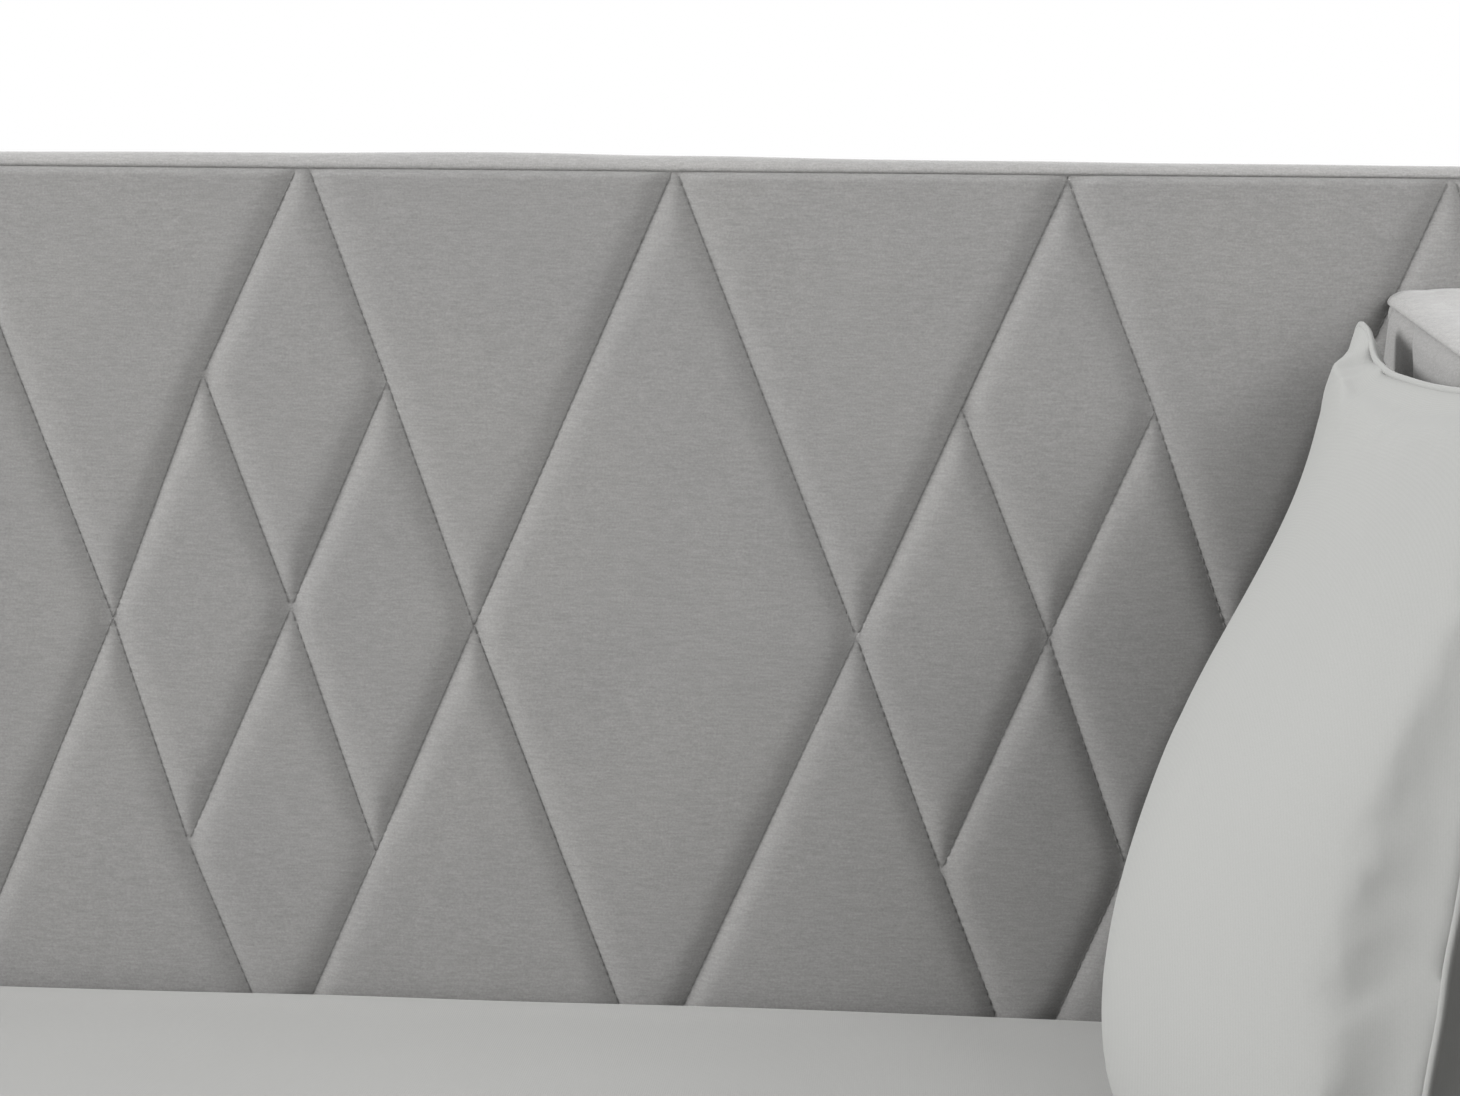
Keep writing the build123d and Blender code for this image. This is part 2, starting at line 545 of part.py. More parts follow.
# ---------------------------------------------------------------- legs
def leg(x, y):
    """Turned tapered leg with a bolt hole in its top, in the open part."""
    with BuildSketch(Plane.XZ.offset(-y)) as half:
        with BuildLine():
            Polyline(
                (x, GLIDE_H), (x + LEG_FOOT_D / 2 - 2, GLIDE_H), (x + LEG_FOOT_D / 2, GLIDE_H + 2),
                (x + LEG_TOP_D / 2, Z_BASE - 14), (x + LEG_TOP_D / 2, Z_BASE), (x, Z_BASE), close=True)
        make_face()
    revolve(half.sketch, axis=Axis((x, y, 0), (0, 0, 1)))
    rod("z", Z_BASE - 44, Z_BASE, x, y, M8 + 0.1, Mode.SUBTRACT)


with BuildPart() as front_legs:
    leg(-LEG_X, LEG_YF)
    leg(LEG_X, LEG_YF)
save(front_legs, "front_legs")

with BuildPart() as rear_legs:
    leg(-LEG_X, LEG_YR)
    leg(LEG_X, LEG_YR)
save(rear_legs, "rear_legs")

LEGS = [(s * LEG_X, y) for s in (-1, 1) for y in (LEG_YF, LEG_YR)]

with BuildPart() as leg_bolts:
    for x, y in LEGS:
        rod("z", Z_BASE - 42, Z_BASE + 42, x, y, M8)
save(leg_bolts, "leg_bolts")

with BuildPart() as leg_inserts:
    for x, y in LEGS:
        rod("z", Z_BASE, Z_BASE + 28, x, y, INS_R - 0.1)
        rod("z", Z_BASE, Z_BASE + 28, x, y, M8 + 0.1, Mode.SUBTRACT)
save(leg_inserts, "leg_inserts")

with BuildPart() as leg_glides:
    for x, y in LEGS:
        rod("z", 0.0, GLIDE_H, x, y, LEG_FOOT_D / 2 - 3)
    chamfer(leg_glides.edges().group_by(Axis.Z)[0], 2.0)
save(leg_glides, "leg_glides")


# ---------------------------------------------------------------- mattress
MX, MY0, MY1 = MAT_L / 2, MAT_Y0, MAT_Y0 + MAT_W
MZ0, MZ1 = SLAT_TOP, SLAT_TOP + MAT_H
MYC = (MY0 + MY1) / 2
MAT_R = 40.0            # plan radius of the mattress corners


def mat_slab(z0, z1, inset, mode=Mode.ADD):
    """Rounded rectangular slab of the mattress plan, in the open part."""
    with BuildSketch(Plane.XY.offset(z0)) as plan:
        with Locations((0, MYC)):
            RectangleRounded(MAT_L - 2 * inset, MAT_W - 2 * inset, MAT_R - inset)
    extrude(plan.sketch, amount=z1 - z0, mode=mode)


with BuildPart() as mattress_core:
    mat_slab(MZ0 + MAT_SKIN, MZ1 - MAT_SKIN, MAT_SKIN)
    fillet(mattress_core.edges().group_by(Axis.Z)[-1] + mattress_core.edges().group_by(Axis.Z)[0], 22.0)
save(mattress_core, "mattress_core")

with BuildPart() as mattress_border:
    mat_slab(MZ0 + MAT_SKIN, MZ1 - MAT_SKIN, 0.0)
    mat_slab(MZ0 + MAT_SKIN, MZ1 - MAT_SKIN, MAT_SKIN, Mode.SUBTRACT)
save(mattress_border, "mattress_border")

with BuildPart() as mattress_top_panel:
    mat_slab(MZ1 - MAT_SKIN, MZ1, 0.0)
save(mattress_top_panel, "mattress_top_panel")

with BuildPart() as mattress_bottom_panel:
    mat_slab(MZ0, MZ0 + MAT_SKIN, 0.0)
save(mattress_bottom_panel, "mattress_bottom_panel")


# ---------------------------------------------------------------- cushion
# slumped cushion standing on the mattress and leaning on the right arm
CU_Y = 205.0            # middle of the cushion along the depth
CU_HALF = 225.0         # half of its width
CU_SKIN = 2.5
CU_Z0 = MZ1 + 1.5


def cushion(grow, mode=Mode.ADD):
    """Lofted cushion body, grown by grow on every side, in the open part."""
    core = [(862, 14), (822, 52), (814, 92), (824, 160), (848, 230), (886, 306), (921, 364),
            (945, 384), (956, 366), (958, 300), (958, 220), (956, 120), (948, 46), (916, 14)]
    cx, cz = 900.0, 190.0
    sections = []
    stations = [(-1.0, 0.30), (-0.86, 0.72), (-0.5, 0.94), (0.0, 1.0), (0.5, 0.94), (0.86, 0.72), (1.0, 0.30)]
    for at, k in stations:
        y = CU_Y + at * (CU_HALF + grow)
        pts = []
        for x, z in core:
            dx, dz = x - cx, z - cz
            r = math.hypot(dx, dz)
            kz = 0.72 + 0.28 * k
            px, pz = cx + 30 * (1 - k) + dx * k, cz + dz * kz - (1 - kz) * 60
            pts.append((px + grow * dx / r, CU_Z0 + max(pz, 14 * k + 4) - 8 + grow * dz / r))
        with BuildSketch(Plane.XZ.offset(-y)) as section:
            with BuildLine():
                Spline(*pts, periodic=True)
            make_face()
        sections.append(section.sketch)
    loft(sections, mode=mode)


with BuildPart() as cushion_fill:
    cushion(0.0)
save(cushion_fill, "cushion_fill")

for face, x0, x1 in (("front", 700.0, 895.0), ("back", 895.0, 1100.0)):
    with BuildPart() as cushion_panel:
        cushion(CU_SKIN)
        cushion(0.0, Mode.SUBTRACT)
        bx(x0, x1, CU_Y - 400, CU_Y + 400, 300.0, 1200.0, Mode.INTERSECT)
    save(cushion_panel, "cushion_" + face + "_panel")
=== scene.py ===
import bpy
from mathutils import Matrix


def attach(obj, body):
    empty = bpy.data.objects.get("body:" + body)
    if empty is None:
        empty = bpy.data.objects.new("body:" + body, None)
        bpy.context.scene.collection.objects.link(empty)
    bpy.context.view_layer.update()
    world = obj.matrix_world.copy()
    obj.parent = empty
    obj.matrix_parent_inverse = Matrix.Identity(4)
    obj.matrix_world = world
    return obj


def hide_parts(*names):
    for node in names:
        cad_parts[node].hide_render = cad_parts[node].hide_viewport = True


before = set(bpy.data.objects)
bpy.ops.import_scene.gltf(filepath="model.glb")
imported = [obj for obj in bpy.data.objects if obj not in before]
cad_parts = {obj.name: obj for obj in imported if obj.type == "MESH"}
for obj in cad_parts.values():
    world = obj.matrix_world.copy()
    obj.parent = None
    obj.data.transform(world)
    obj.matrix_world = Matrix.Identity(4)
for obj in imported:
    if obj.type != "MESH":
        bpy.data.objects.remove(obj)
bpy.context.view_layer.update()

import math

import bmesh
import bpy
import numpy as np
from mathutils import Matrix, Vector

MM = 0.001
RNG = np.random.default_rng(7)

# ------------------------------------------------------------------ dimensions (mm)
X_OUT, Y_OUT = 1040.0, 555.0
Z_BASE = 120.0
BACK_TOP = 915.0
SEAM_TOP = 907.5        # seam between the quilted front and the boxing strip
Z_QUILT0 = 250.0
XB = 1032.0
YB = 475.0              # front of the quilted cover
VALLEY = 480.2          # depth of the sewn seams
SEAT_X = 965.0
ARM_REAR, ARM_FRONT, ARM_ROUND = 850.0, 720.0, 120.0
PITCH = 200.0
ROW = 1.25              # height of one mesh row on the quilting
STITCH = 5.0            # height of one stitch


# ------------------------------------------------------------------ small helpers
def waves(seed, size, count=14):
    """Smooth wandering function of two coordinates, about -1 to 1, with features of about that size in mm."""
    r = np.random.default_rng(seed)
    ang = r.uniform(0, 2 * math.pi, count)
    k = 2 * math.pi / (size * r.uniform(0.7, 1.9, count))
    ph = r.uniform(0, 2 * math.pi, count)
    am = r.uniform(0.5, 1.0, count)
    am /= np.sqrt((am ** 2).sum()) * 1.2

    def f(a, b):
        a, b = np.asarray(a, float), np.asarray(b, float)
        out = np.zeros(np.broadcast(a, b).shape)
        for i in range(count):
            out = out + am[i] * np.sin(k[i] * (math.cos(ang[i]) * a + math.sin(ang[i]) * b) + ph[i])
        return out

    return f


def make_obj(name, verts, faces_by_size, mat, smooth=True):
    """Mesh object from points in mm and lists of faces with 3, 4 or more corners."""
    me = bpy.data.meshes.new(name)
    verts = np.asarray(verts, np.float64)
    starts, loops, pos = [], [], 0
    for arr in faces_by_size:
        if arr is None or len(arr) == 0:
            continue
        arr = np.asarray(arr, np.int32)
        n, k = arr.shape
        starts.append(pos + np.arange(n, dtype=np.int32) * k)
        loops.append(arr.ravel())
        pos += n * k
    starts, loops = np.concatenate(starts), np.concatenate(loops)
    me.vertices.add(len(verts))
    me.vertices.foreach_set("co", (verts * MM).astype(np.float32).ravel())
    me.loops.add(len(loops))
    me.loops.foreach_set("vertex_index", loops.astype(np.int32))
    me.polygons.add(len(starts))
    me.polygons.foreach_set("loop_start", starts.astype(np.int32))
    me.polygons.foreach_set("use_smooth", np.full(len(starts), smooth, bool))
    me.update(calc_edges=True)
    me.validate()
    o = bpy.data.objects.new(name, me)
    bpy.context.scene.collection.objects.link(o)
    if mat is not None:
        me.materials.append(mat)
    return o


def weld(verts, quads, tol=0.013):
    """Joins points that coincide; gives points, quads and triangles."""
    key = np.round(verts / tol).astype(np.int64)
    _, idx, inv = np.unique(key, axis=0, return_index=True, return_inverse=True)
    inv = inv.reshape(-1)
    v, q = verts[idx], inv[quads]
    eq = np.stack([q[:, i] == q[:, (i + 1) % 4] for i in range(4)], 1)
    n = eq.sum(1)
    ok = (n == 0) & (q[:, 0] != q[:, 2]) & (q[:, 1] != q[:, 3])
    tris = []
    for i in range(4):
        m = (n == 1) & eq[:, i]
        t = np.delete(q[m], i, axis=1)
        tris.append(t)
    t = np.concatenate(tris)
    t = t[(t[:, 0] != t[:, 1]) & (t[:, 1] != t[:, 2]) & (t[:, 0] != t[:, 2])]
    return v, q[ok], t


def close_flat(o, axis, value, cuts=()):
    """Cuts an open panel along planes, folds its edge back to a flat plane and closes it there."""
    bm = bmesh.new()
    bm.from_mesh(o.data)
    for co, no in cuts:
        bmesh.ops.bisect_plane(
            bm, geom=bm.verts[:] + bm.edges[:] + bm.faces[:], dist=1e-6,
            plane_co=Vector(co) * MM, plane_no=Vector(no), clear_outer=True)
    edges = [e for e in bm.edges if e.is_boundary]
    new = bmesh.ops.extrude_edge_only(bm, edges=edges)["geom"]
    nv = [g for g in new if isinstance(g, bmesh.types.BMVert)]
    ne = [g for g in new if isinstance(g, bmesh.types.BMEdge)]
    rim = set(nv)
    for v in nv:
        v.co[axis] = value * MM
    ne = [e for e in ne if e.verts[0] in rim and e.verts[1] in rim]
    bmesh.ops.edgeloop_fill(bm, edges=ne)
    bmesh.ops.recalc_face_normals(bm, faces=bm.faces[:])
    for f in bm.faces:
        f.smooth = len(f.verts) < 5
    bm.to_mesh(o.data)
    bm.free()
    o.data.update()


def ease(t):
    """Smooth step from 0 to 1."""
    t = min(max(t, 0.0), 1.0)
    return t * t * (3.0 - 2.0 * t)


def rise(d, width, power=2.2):
    """How high the padding has risen at a distance from a seam, 0 at the seam and 1 past the width."""
    t = np.clip(d / width, 0.0, 1.0)
    return 1.0 - (1.0 - t) ** power


# ------------------------------------------------------------------ materials
def node_mat(name):
    m = bpy.data.materials.new(name)
    m.use_nodes = True
    nt = m.node_tree
    nt.nodes.clear()
    out = nt.nodes.new("ShaderNodeOutputMaterial")
    b = nt.nodes.new("ShaderNodeBsdfPrincipled")
    nt.links.new(b.outputs[0], out.inputs[0])
    tc = nt.nodes.new("ShaderNodeTexCoord")
    return m, nt, b, tc


def stretched(nt, tc, scale, rot=(0, 0, 0)):
    mp = nt.nodes.new("ShaderNodeMapping")
    mp.inputs["Scale"].default_value = scale
    mp.inputs["Rotation"].default_value = rot
    nt.links.new(tc.outputs["Object"], mp.inputs["Vector"])
    return mp.outputs["Vector"]


def noise_tex(nt, vec, scale, detail=2.0, rough=0.5, distortion=0.0):
    n = nt.nodes.new("ShaderNodeTexNoise")
    n.inputs["Scale"].default_value = scale
    n.inputs["Detail"].default_value = detail
    n.inputs["Roughness"].default_value = rough
    n.inputs["Distortion"].default_value = distortion
    nt.links.new(vec, n.inputs["Vector"])
    return n.outputs["Fac"]


def ramp(nt, fac, stops):
    r = nt.nodes.new("ShaderNodeValToRGB")
    while len(r.color_ramp.elements) < len(stops):
        r.color_ramp.elements.new(0.5)
    for e, (p, c) in zip(r.color_ramp.elements, stops):
        e.position = p
        e.color = (c[0], c[1], c[2], 1.0)
    nt.links.new(fac, r.inputs["Fac"])
    return r.outputs["Color"]


def mix(nt, a, b, fac, kind="MIX"):
    """Mix of two colours; fac is a number or a socket."""
    n = nt.nodes.new("ShaderNodeMix")
    n.data_type = "RGBA"
    n.blend_type = kind
    if isinstance(fac, (int, float)):
        n.inputs[0].default_value = fac
    else:
        nt.links.new(fac, n.inputs[0])
    for s, i in ((a, 6), (b, 7)):
        if isinstance(s, tuple):
            n.inputs[i].default_value = (*s, 1.0)
        else:
            nt.links.new(s, n.inputs[i])
    return n.outputs[2]


def bump(nt, b, height, strength, distance, after=None):
    n = nt.nodes.new("ShaderNodeBump")
    n.inputs["Strength"].default_value = strength
    n.inputs["Distance"].default_value = distance
    nt.links.new(height, n.inputs["Height"])
    if after is not None:
        nt.links.new(after, n.inputs["Normal"])
    nt.links.new(n.outputs[0], b.inputs["Normal"])
    return n.outputs[0]


def shade(c, k):
    return tuple(min(1.0, x * k) for x in c)


def velvet_mat(name, col):
    m, nt, b, tc = node_mat(name)
    v = stretched(nt, tc, (1, 1, 1))
    grain = noise_tex(nt, v, 900.0, 3.0, 0.65)
    pile = noise_tex(nt, stretched(nt, tc, (150, 150, 1000)), 1.0, 2.0, 0.6)
    cloud = noise_tex(nt, v, 9.0, 2.0, 0.5)
    c1 = ramp(nt, grain, [(0.30, shade(col, 0.88)), (0.70, shade(col, 1.12))])
    c2 = ramp(nt, pile, [(0.30, (0.87, 0.87, 0.87)), (0.70, (1.03, 1.03, 1.03))])
    c3 = ramp(nt, cloud, [(0.3, (0.95, 0.95, 0.955)), (0.7, (1.0, 0.998, 0.995))])
    col12 = mix(nt, c1, c2, 1.0, "MULTIPLY")
    nt.links.new(mix(nt, col12, c3, 1.0, "MULTIPLY"), b.inputs["Base Color"])
    b.inputs["Roughness"].default_value = 0.95
    b.inputs["Specular IOR Level"].default_value = 0.15
    b.inputs["Sheen Weight"].default_value = 0.25
    b.inputs["Sheen Roughness"].default_value = 0.45
    b.inputs["Sheen Tint"].default_value = (0.9, 0.9, 0.9, 1.0)
    n1 = bump(nt, b, grain, 0.35, 0.0004)
    bump(nt, b, pile, 0.15, 0.0005, n1)
    return m


def cloth_mat(name, col, weave=0.0011, strength=0.25, sheen=0.1):
    """Smooth woven or knitted cover: fine ribs along Y and a soft mottling."""
    m, nt, b, tc = node_mat(name)
    v = stretched(nt, tc, (1, 1, 1))
    w = nt.nodes.new("ShaderNodeTexWave")
    w.wave_type, w.bands_direction = "BANDS", "X"
    w.inputs["Scale"].default_value = 0.314 / weave
    w.inputs["Distortion"].default_value = 1.2
    w.inputs["Detail"].default_value = 1.0
    nt.links.new(v, w.inputs["Vector"])
    fine = noise_tex(nt, v, 1300.0, 2.0, 0.6)
    cloud = noise_tex(nt, v, 7.0, 2.0, 0.5)
    c1 = ramp(nt, fine, [(0.3, shade(col, 0.975)), (0.7, shade(col, 1.025))])
    c2 = ramp(nt, w.outputs["Fac"], [(0.0, (0.975, 0.975, 0.975)), (1.0, (1.0, 1.0, 1.0))])
    c3 = ramp(nt, cloud, [(0.3, (0.97, 0.97, 0.97)), (0.7, (1.0, 1.0, 1.0))])
    c12 = mix(nt, c1, c2, 1.0, "MULTIPLY")
    nt.links.new(mix(nt, c12, c3, 1.0, "MULTIPLY"), b.inputs["Base Color"])
    b.inputs["Roughness"].default_value = 0.88
    b.inputs["Specular IOR Level"].default_value = 0.2
    b.inputs["Sheen Weight"].default_value = sheen
    b.inputs["Sheen Roughness"].default_value = 0.5
    n1 = bump(nt, b, w.outputs["Fac"], strength, 0.0002)
    bump(nt, b, fine, 0.2, 0.0002, n1)
    return m


def wood_mat(name, light, dark, along, rough=0.55, coat=0.0):
    """Wood with its grain along one axis (0, 1 or 2)."""
    m, nt, b, tc = node_mat(name)
    s1, s2 = [70.0] * 3, [16.0] * 3
    s1[along], s2[along] = 3.0, 0.9
    fib = noise_tex(nt, stretched(nt, tc, s1), 1.0, 4.0, 0.65, 0.3)
    ring = noise_tex(nt, stretched(nt, tc, s2), 1.0, 2.0, 0.5, 1.2)
    c1 = ramp(nt, ring, [(0.30, light), (0.48, shade(light, 0.90)), (0.56, dark), (0.70, shade(light, 0.97))])
    c2 = ramp(nt, fib, [(0.25, (0.86, 0.84, 0.82)), (0.75, (1.0, 1.0, 1.0))])
    nt.links.new(mix(nt, c1, c2, 1.0, "MULTIPLY"), b.inputs["Base Color"])
    b.inputs["Roughness"].default_value = rough
    b.inputs["Coat Weight"].default_value = coat
    b.inputs["Coat Roughness"].default_value = 0.25
    bump(nt, b, fib, 0.2, 0.0006)
    return m


def hard_mat(name, col, metallic, rough, scale=300.0, strength=0.05):
    m, nt, b, tc = node_mat(name)
    n = noise_tex(nt, stretched(nt, tc, (1, 1, 1)), scale, 3.0, 0.6)
    c = ramp(nt, n, [(0.3, shade(col, 0.92)), (0.7, shade(col, 1.06))])
    nt.links.new(c, b.inputs["Base Color"])
    b.inputs["Metallic"].default_value = metallic
    b.inputs["Roughness"].default_value = rough
    bump(nt, b, n, strength, 0.0003)
    return m


def foam_mat(name, col):
    m, nt, b, tc = node_mat(name)
    n = noise_tex(nt, stretched(nt, tc, (1, 1, 1)), 700.0, 4.0, 0.7)
    c = ramp(nt, n, [(0.3, shade(col, 0.85)), (0.7, shade(col, 1.05))])
    nt.links.new(c, b.inputs["Base Color"])
    b.inputs["Roughness"].default_value = 0.95
    bump(nt, b, n, 0.5, 0.0006)
    return m


VELVET = (0.2195, 0.2171, 0.2125)
M_VELVET = velvet_mat("grey_velvet", VELVET)
# painted light: the boxing strips get a lighter copy of the same velvet, which stands in for the extra light that falls
# on their rounded tops
M_STRIP_PAINTED_LIGHT = velvet_mat("grey_velvet_painted_top_light", shade(VELVET, 1.28))
M_THREAD = hard_mat("seam_thread", (0.145, 0.1435, 0.140), 0.0, 0.8, 2500.0, 0.3)
M_MATTRESS = cloth_mat("mattress_knit", (0.338, 0.337, 0.329))
M_CUSHION = cloth_mat("cushion_microfibre", (0.261, 0.263, 0.255), 0.0008, 0.12, 0.15)
M_PINE_X = wood_mat("pine_lengthwise", (0.70, 0.52, 0.33), (0.52, 0.34, 0.18), 0)
M_PINE_Y = wood_mat("pine_crosswise", (0.70, 0.52, 0.33), (0.52, 0.34, 0.18), 1)
M_PINE_Z = wood_mat("pine_upright", (0.70, 0.52, 0.33), (0.52, 0.34, 0.18), 2)
M_PLY = wood_mat("plywood", (0.60, 0.45, 0.29), (0.50, 0.36, 0.21), 0, 0.7)
M_LEG = wood_mat("stained_leg", (0.060, 0.034, 0.020), (0.025, 0.014, 0.009), 2, 0.38, 0.25)
M_STEEL = hard_mat("zinc_steel", (0.62, 0.62, 0.63), 1.0, 0.36)
M_BLACK = hard_mat("black_powder_coat", (0.03, 0.03, 0.032), 0.0, 0.5, 900.0, 0.2)
M_PLASTIC = hard_mat("black_plastic", (0.03, 0.03, 0.03), 0.0, 0.55, 600.0, 0.1)
M_CAP = hard_mat("grey_plastic", (0.16, 0.16, 0.158), 0.0, 0.5, 600.0, 0.1)
M_WEB = cloth_mat("webbing", (0.70, 0.69, 0.65), 0.0022, 0.5, 0.0)
M_FOAM = foam_mat("foam", (0.75, 0.68, 0.45))

NODE_MATS = {
    M_PINE_X: ["back_top_rail", "back_bottom_rail", "rear_rail", "rear_cleat", "front_cleat", "front_rail_core", "centre_beam"],
    M_PINE_Y: ["slats", "left_arm_frame", "right_arm_frame"],
    M_PINE_Z: ["back_end_stiles", "back_mid_stiles", "centre_legs", "centre_leg_dowels"],
    M_PLY: ["back_face_board", "back_rear_board", "left_arm_inner_board", "right_arm_inner_board",
            "left_arm_outer_board", "right_arm_outer_board"],
    M_LEG: ["front_legs", "rear_legs"],
    M_STEEL: ["bracket_bolts", "bracket_washers", "bracket_inserts", "arm_bolts", "arm_bolt_washers", "arm_inserts",
              "leg_bolts", "leg_inserts", "slat_screws", "hanger_screws", "front_cleat_screws", "rear_cleat_screws"],
    M_BLACK: ["corner_brackets", "beam_hangers"],
    M_PLASTIC: ["leg_glides", "centre_leg_glides"],
    M_CAP: ["arm_bolt_caps"],
    M_WEB: ["slat_straps"],
    M_FOAM: ["back_foam", "left_arm_foam", "right_arm_foam", "mattress_core"],
}
for mat_, names_ in NODE_MATS.items():
    for n_ in names_:
        o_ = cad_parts[n_]
        o_.data.materials.clear()
        o_.data.materials.append(mat_)


# ------------------------------------------------------------------ diamond lattice of the seams
# u counts columns of 200 mm, v counts half diamonds down from the top; every second column is quartered
SEEN = {
    (2, 0): (400.0, 915.2), (3, 0): (597.9, 911.0), (4, 0): (803.4, 904.9),
    (1.75, 0.5): (345.1, 798.1), (2.25, 0.5): (444.8, 794.8), (3.75, 0.5): (750.6, 785.2), (4.25, 0.5): (851.2, 786.0),
    (2, 1): (392.4, 671.3), (2.5, 1): (491.9, 664.5), (3.5, 1): (697.2, 663.6), (4, 1): (798.7, 663.8),
    (1.75, 1.5): (335.0, 543.7), (2.25, 1.5): (438.6, 539.9), (3.75, 1.5): (744.5, 537.9),
    (2, 2): (386.1, 421.1), (3, 2): (588.3, 417.3),
}


def snap(z):
    return round(z / (2 * ROW)) * 2 * ROW


def lattice_point(u, v, seen=True):
    """Crossing of the seams at column u and level v, in the plane of the panel (mm)."""
    if seen and (u, v) in SEEN:
        x, z = SEEN[(u, v)]
        return (x, snap(z))
    fu, fv = (u * 4) % 4, (v * 2) % 2
    r = np.random.default_rng(int(u * 4 + 400) * 100 + int(v * 2 + 20))
    if fv == 1.0:      # on the middle of a diamond's side
        s = 1 if (u - math.floor(u)) < 0.5 else -1
        k = round(u)
        lo = v - 0.5 if (v - 0.5) % 2 == 0 else v + 0.5
        other = v + 0.5 if lo == v - 0.5 else v - 0.5
        a, b = lattice_point(k, lo, seen), lattice_point(k + 0.5 * s, other, seen)
        return ((a[0] + b[0]) / 2 + r.uniform(-1.0, 1.0), snap((a[1] + b[1]) / 2 + r.uniform(-1.0, 1.0)))
    x = PITCH * u - 5.0 * v + r.uniform(-1.6, 1.6)
    z = 910.0 - 245.3 * v + r.uniform(-2.2, 2.2)
    return (x, snap(z))


def quartered(k):
    return int(k) % 2 == 0


def cells_for(k0, k1, levels, seen=True):
    """Cells (left chain, right chain, is small) of the columns from k0 up to k1, from the top down."""
    P = lambda u, v: lattice_point(u, v, seen)
    out = []
    for k in range(k0, k1):
        for v in levels:
            # whole or quartered diamond on the column
            t, b = v, v + 2
            if quartered(k):
                c = P(k, v + 1)
                l0, r0, l1, r1 = P(k - .25, v + .5), P(k + .25, v + .5), P(k - .25, v + 1.5), P(k + .25, v + 1.5)
                out.append(([P(k, t), l0, c], [P(k, t), r0, c], True))
                out.append(([l0, P(k - .5, v + 1), l1], [l0, c, l1], True))
                out.append(([r0, c, r1], [r0, P(k + .5, v + 1), r1], True))
                out.append(([c, l1, P(k, b)], [c, r1, P(k, b)], True))
            else:
                out.append(([P(k, t), P(k - .5, v + 1), P(k, b)], [P(k, t), P(k + .5, v + 1), P(k, b)], False))
        for v in [levels[0] - 1] + [q + 1 for q in levels]:
            # plain diamond between this column and the next
            left, right = [P(k + .5, v)], [P(k + .5, v)]
            for chain, kk, s in ((left, k, 1), (right, k + 1, -1)):
                if quartered(kk):
                    chain += [P(kk + .25 * s, v + .5), P(kk, v + 1), P(kk + .25 * s, v + 1.5)]
                else:
                    chain.append(P(kk, v + 1))
                chain.append(P(k + .5, v + 2))
            out.append((left, right, False))
    return out


BIG = np.array([0, 1.2, 2.5, 4.0, 5.8, 8.0, 10.8, 14.3, 18.8, 25, 34, 46, 61, 79, 100.0]) / 200.0
SMALL = np.array([0, 1.1, 2.4, 4.0, 6.2, 9.2, 13.2, 19.0, 27.0, 37.5, 50.0]) / 100.0
BIG_C = np.array([0, 1.8, 4.0, 7.0, 11.0, 16.5, 25, 40, 62, 100.0]) / 200.0
SMALL_C = np.array([0, 1.6, 3.6, 6.6, 11.0, 18.0, 30.0, 50.0]) / 100.0


def columns(half):
    return np.concatenate([half, 1.0 - half[-2::-1]])


def sides_of(chain):
    """Splits a chain that runs down a cell into its straight sides, at the corner where it turns back."""
    out, cur = [], [chain[0], chain[1]]
    for p in chain[2:]:
        if (p[0] - cur[-1][0]) * (cur[-1][0] - cur[-2][0]) < 0:
            out.append(cur)
            cur = [cur[-1], p]
        else:
            cur.append(p)
    return out + [cur]


def line_gap(x, z, pts, side):
    """Distance of points from a seam that runs through pts, counted towards the inside of the cell."""
    zs = np.array([p[1] for p in pts])[::-1]
    xs = np.array([p[0] for p in pts])[::-1]
    k = (xs[-1] - xs[0]) / (zs[-1] - zs[0])
    xi = np.interp(z, zs, xs) + k * (np.minimum(z - zs[0], 0.0) + np.maximum(z - zs[-1], 0.0))
    return np.maximum((x - xi) * side / math.hypot(1.0, k), 0.0)


LUMP = waves(11, 210.0)
LUMP2 = waves(12, 60.0)
PUCKER = waves(13, 17.0)


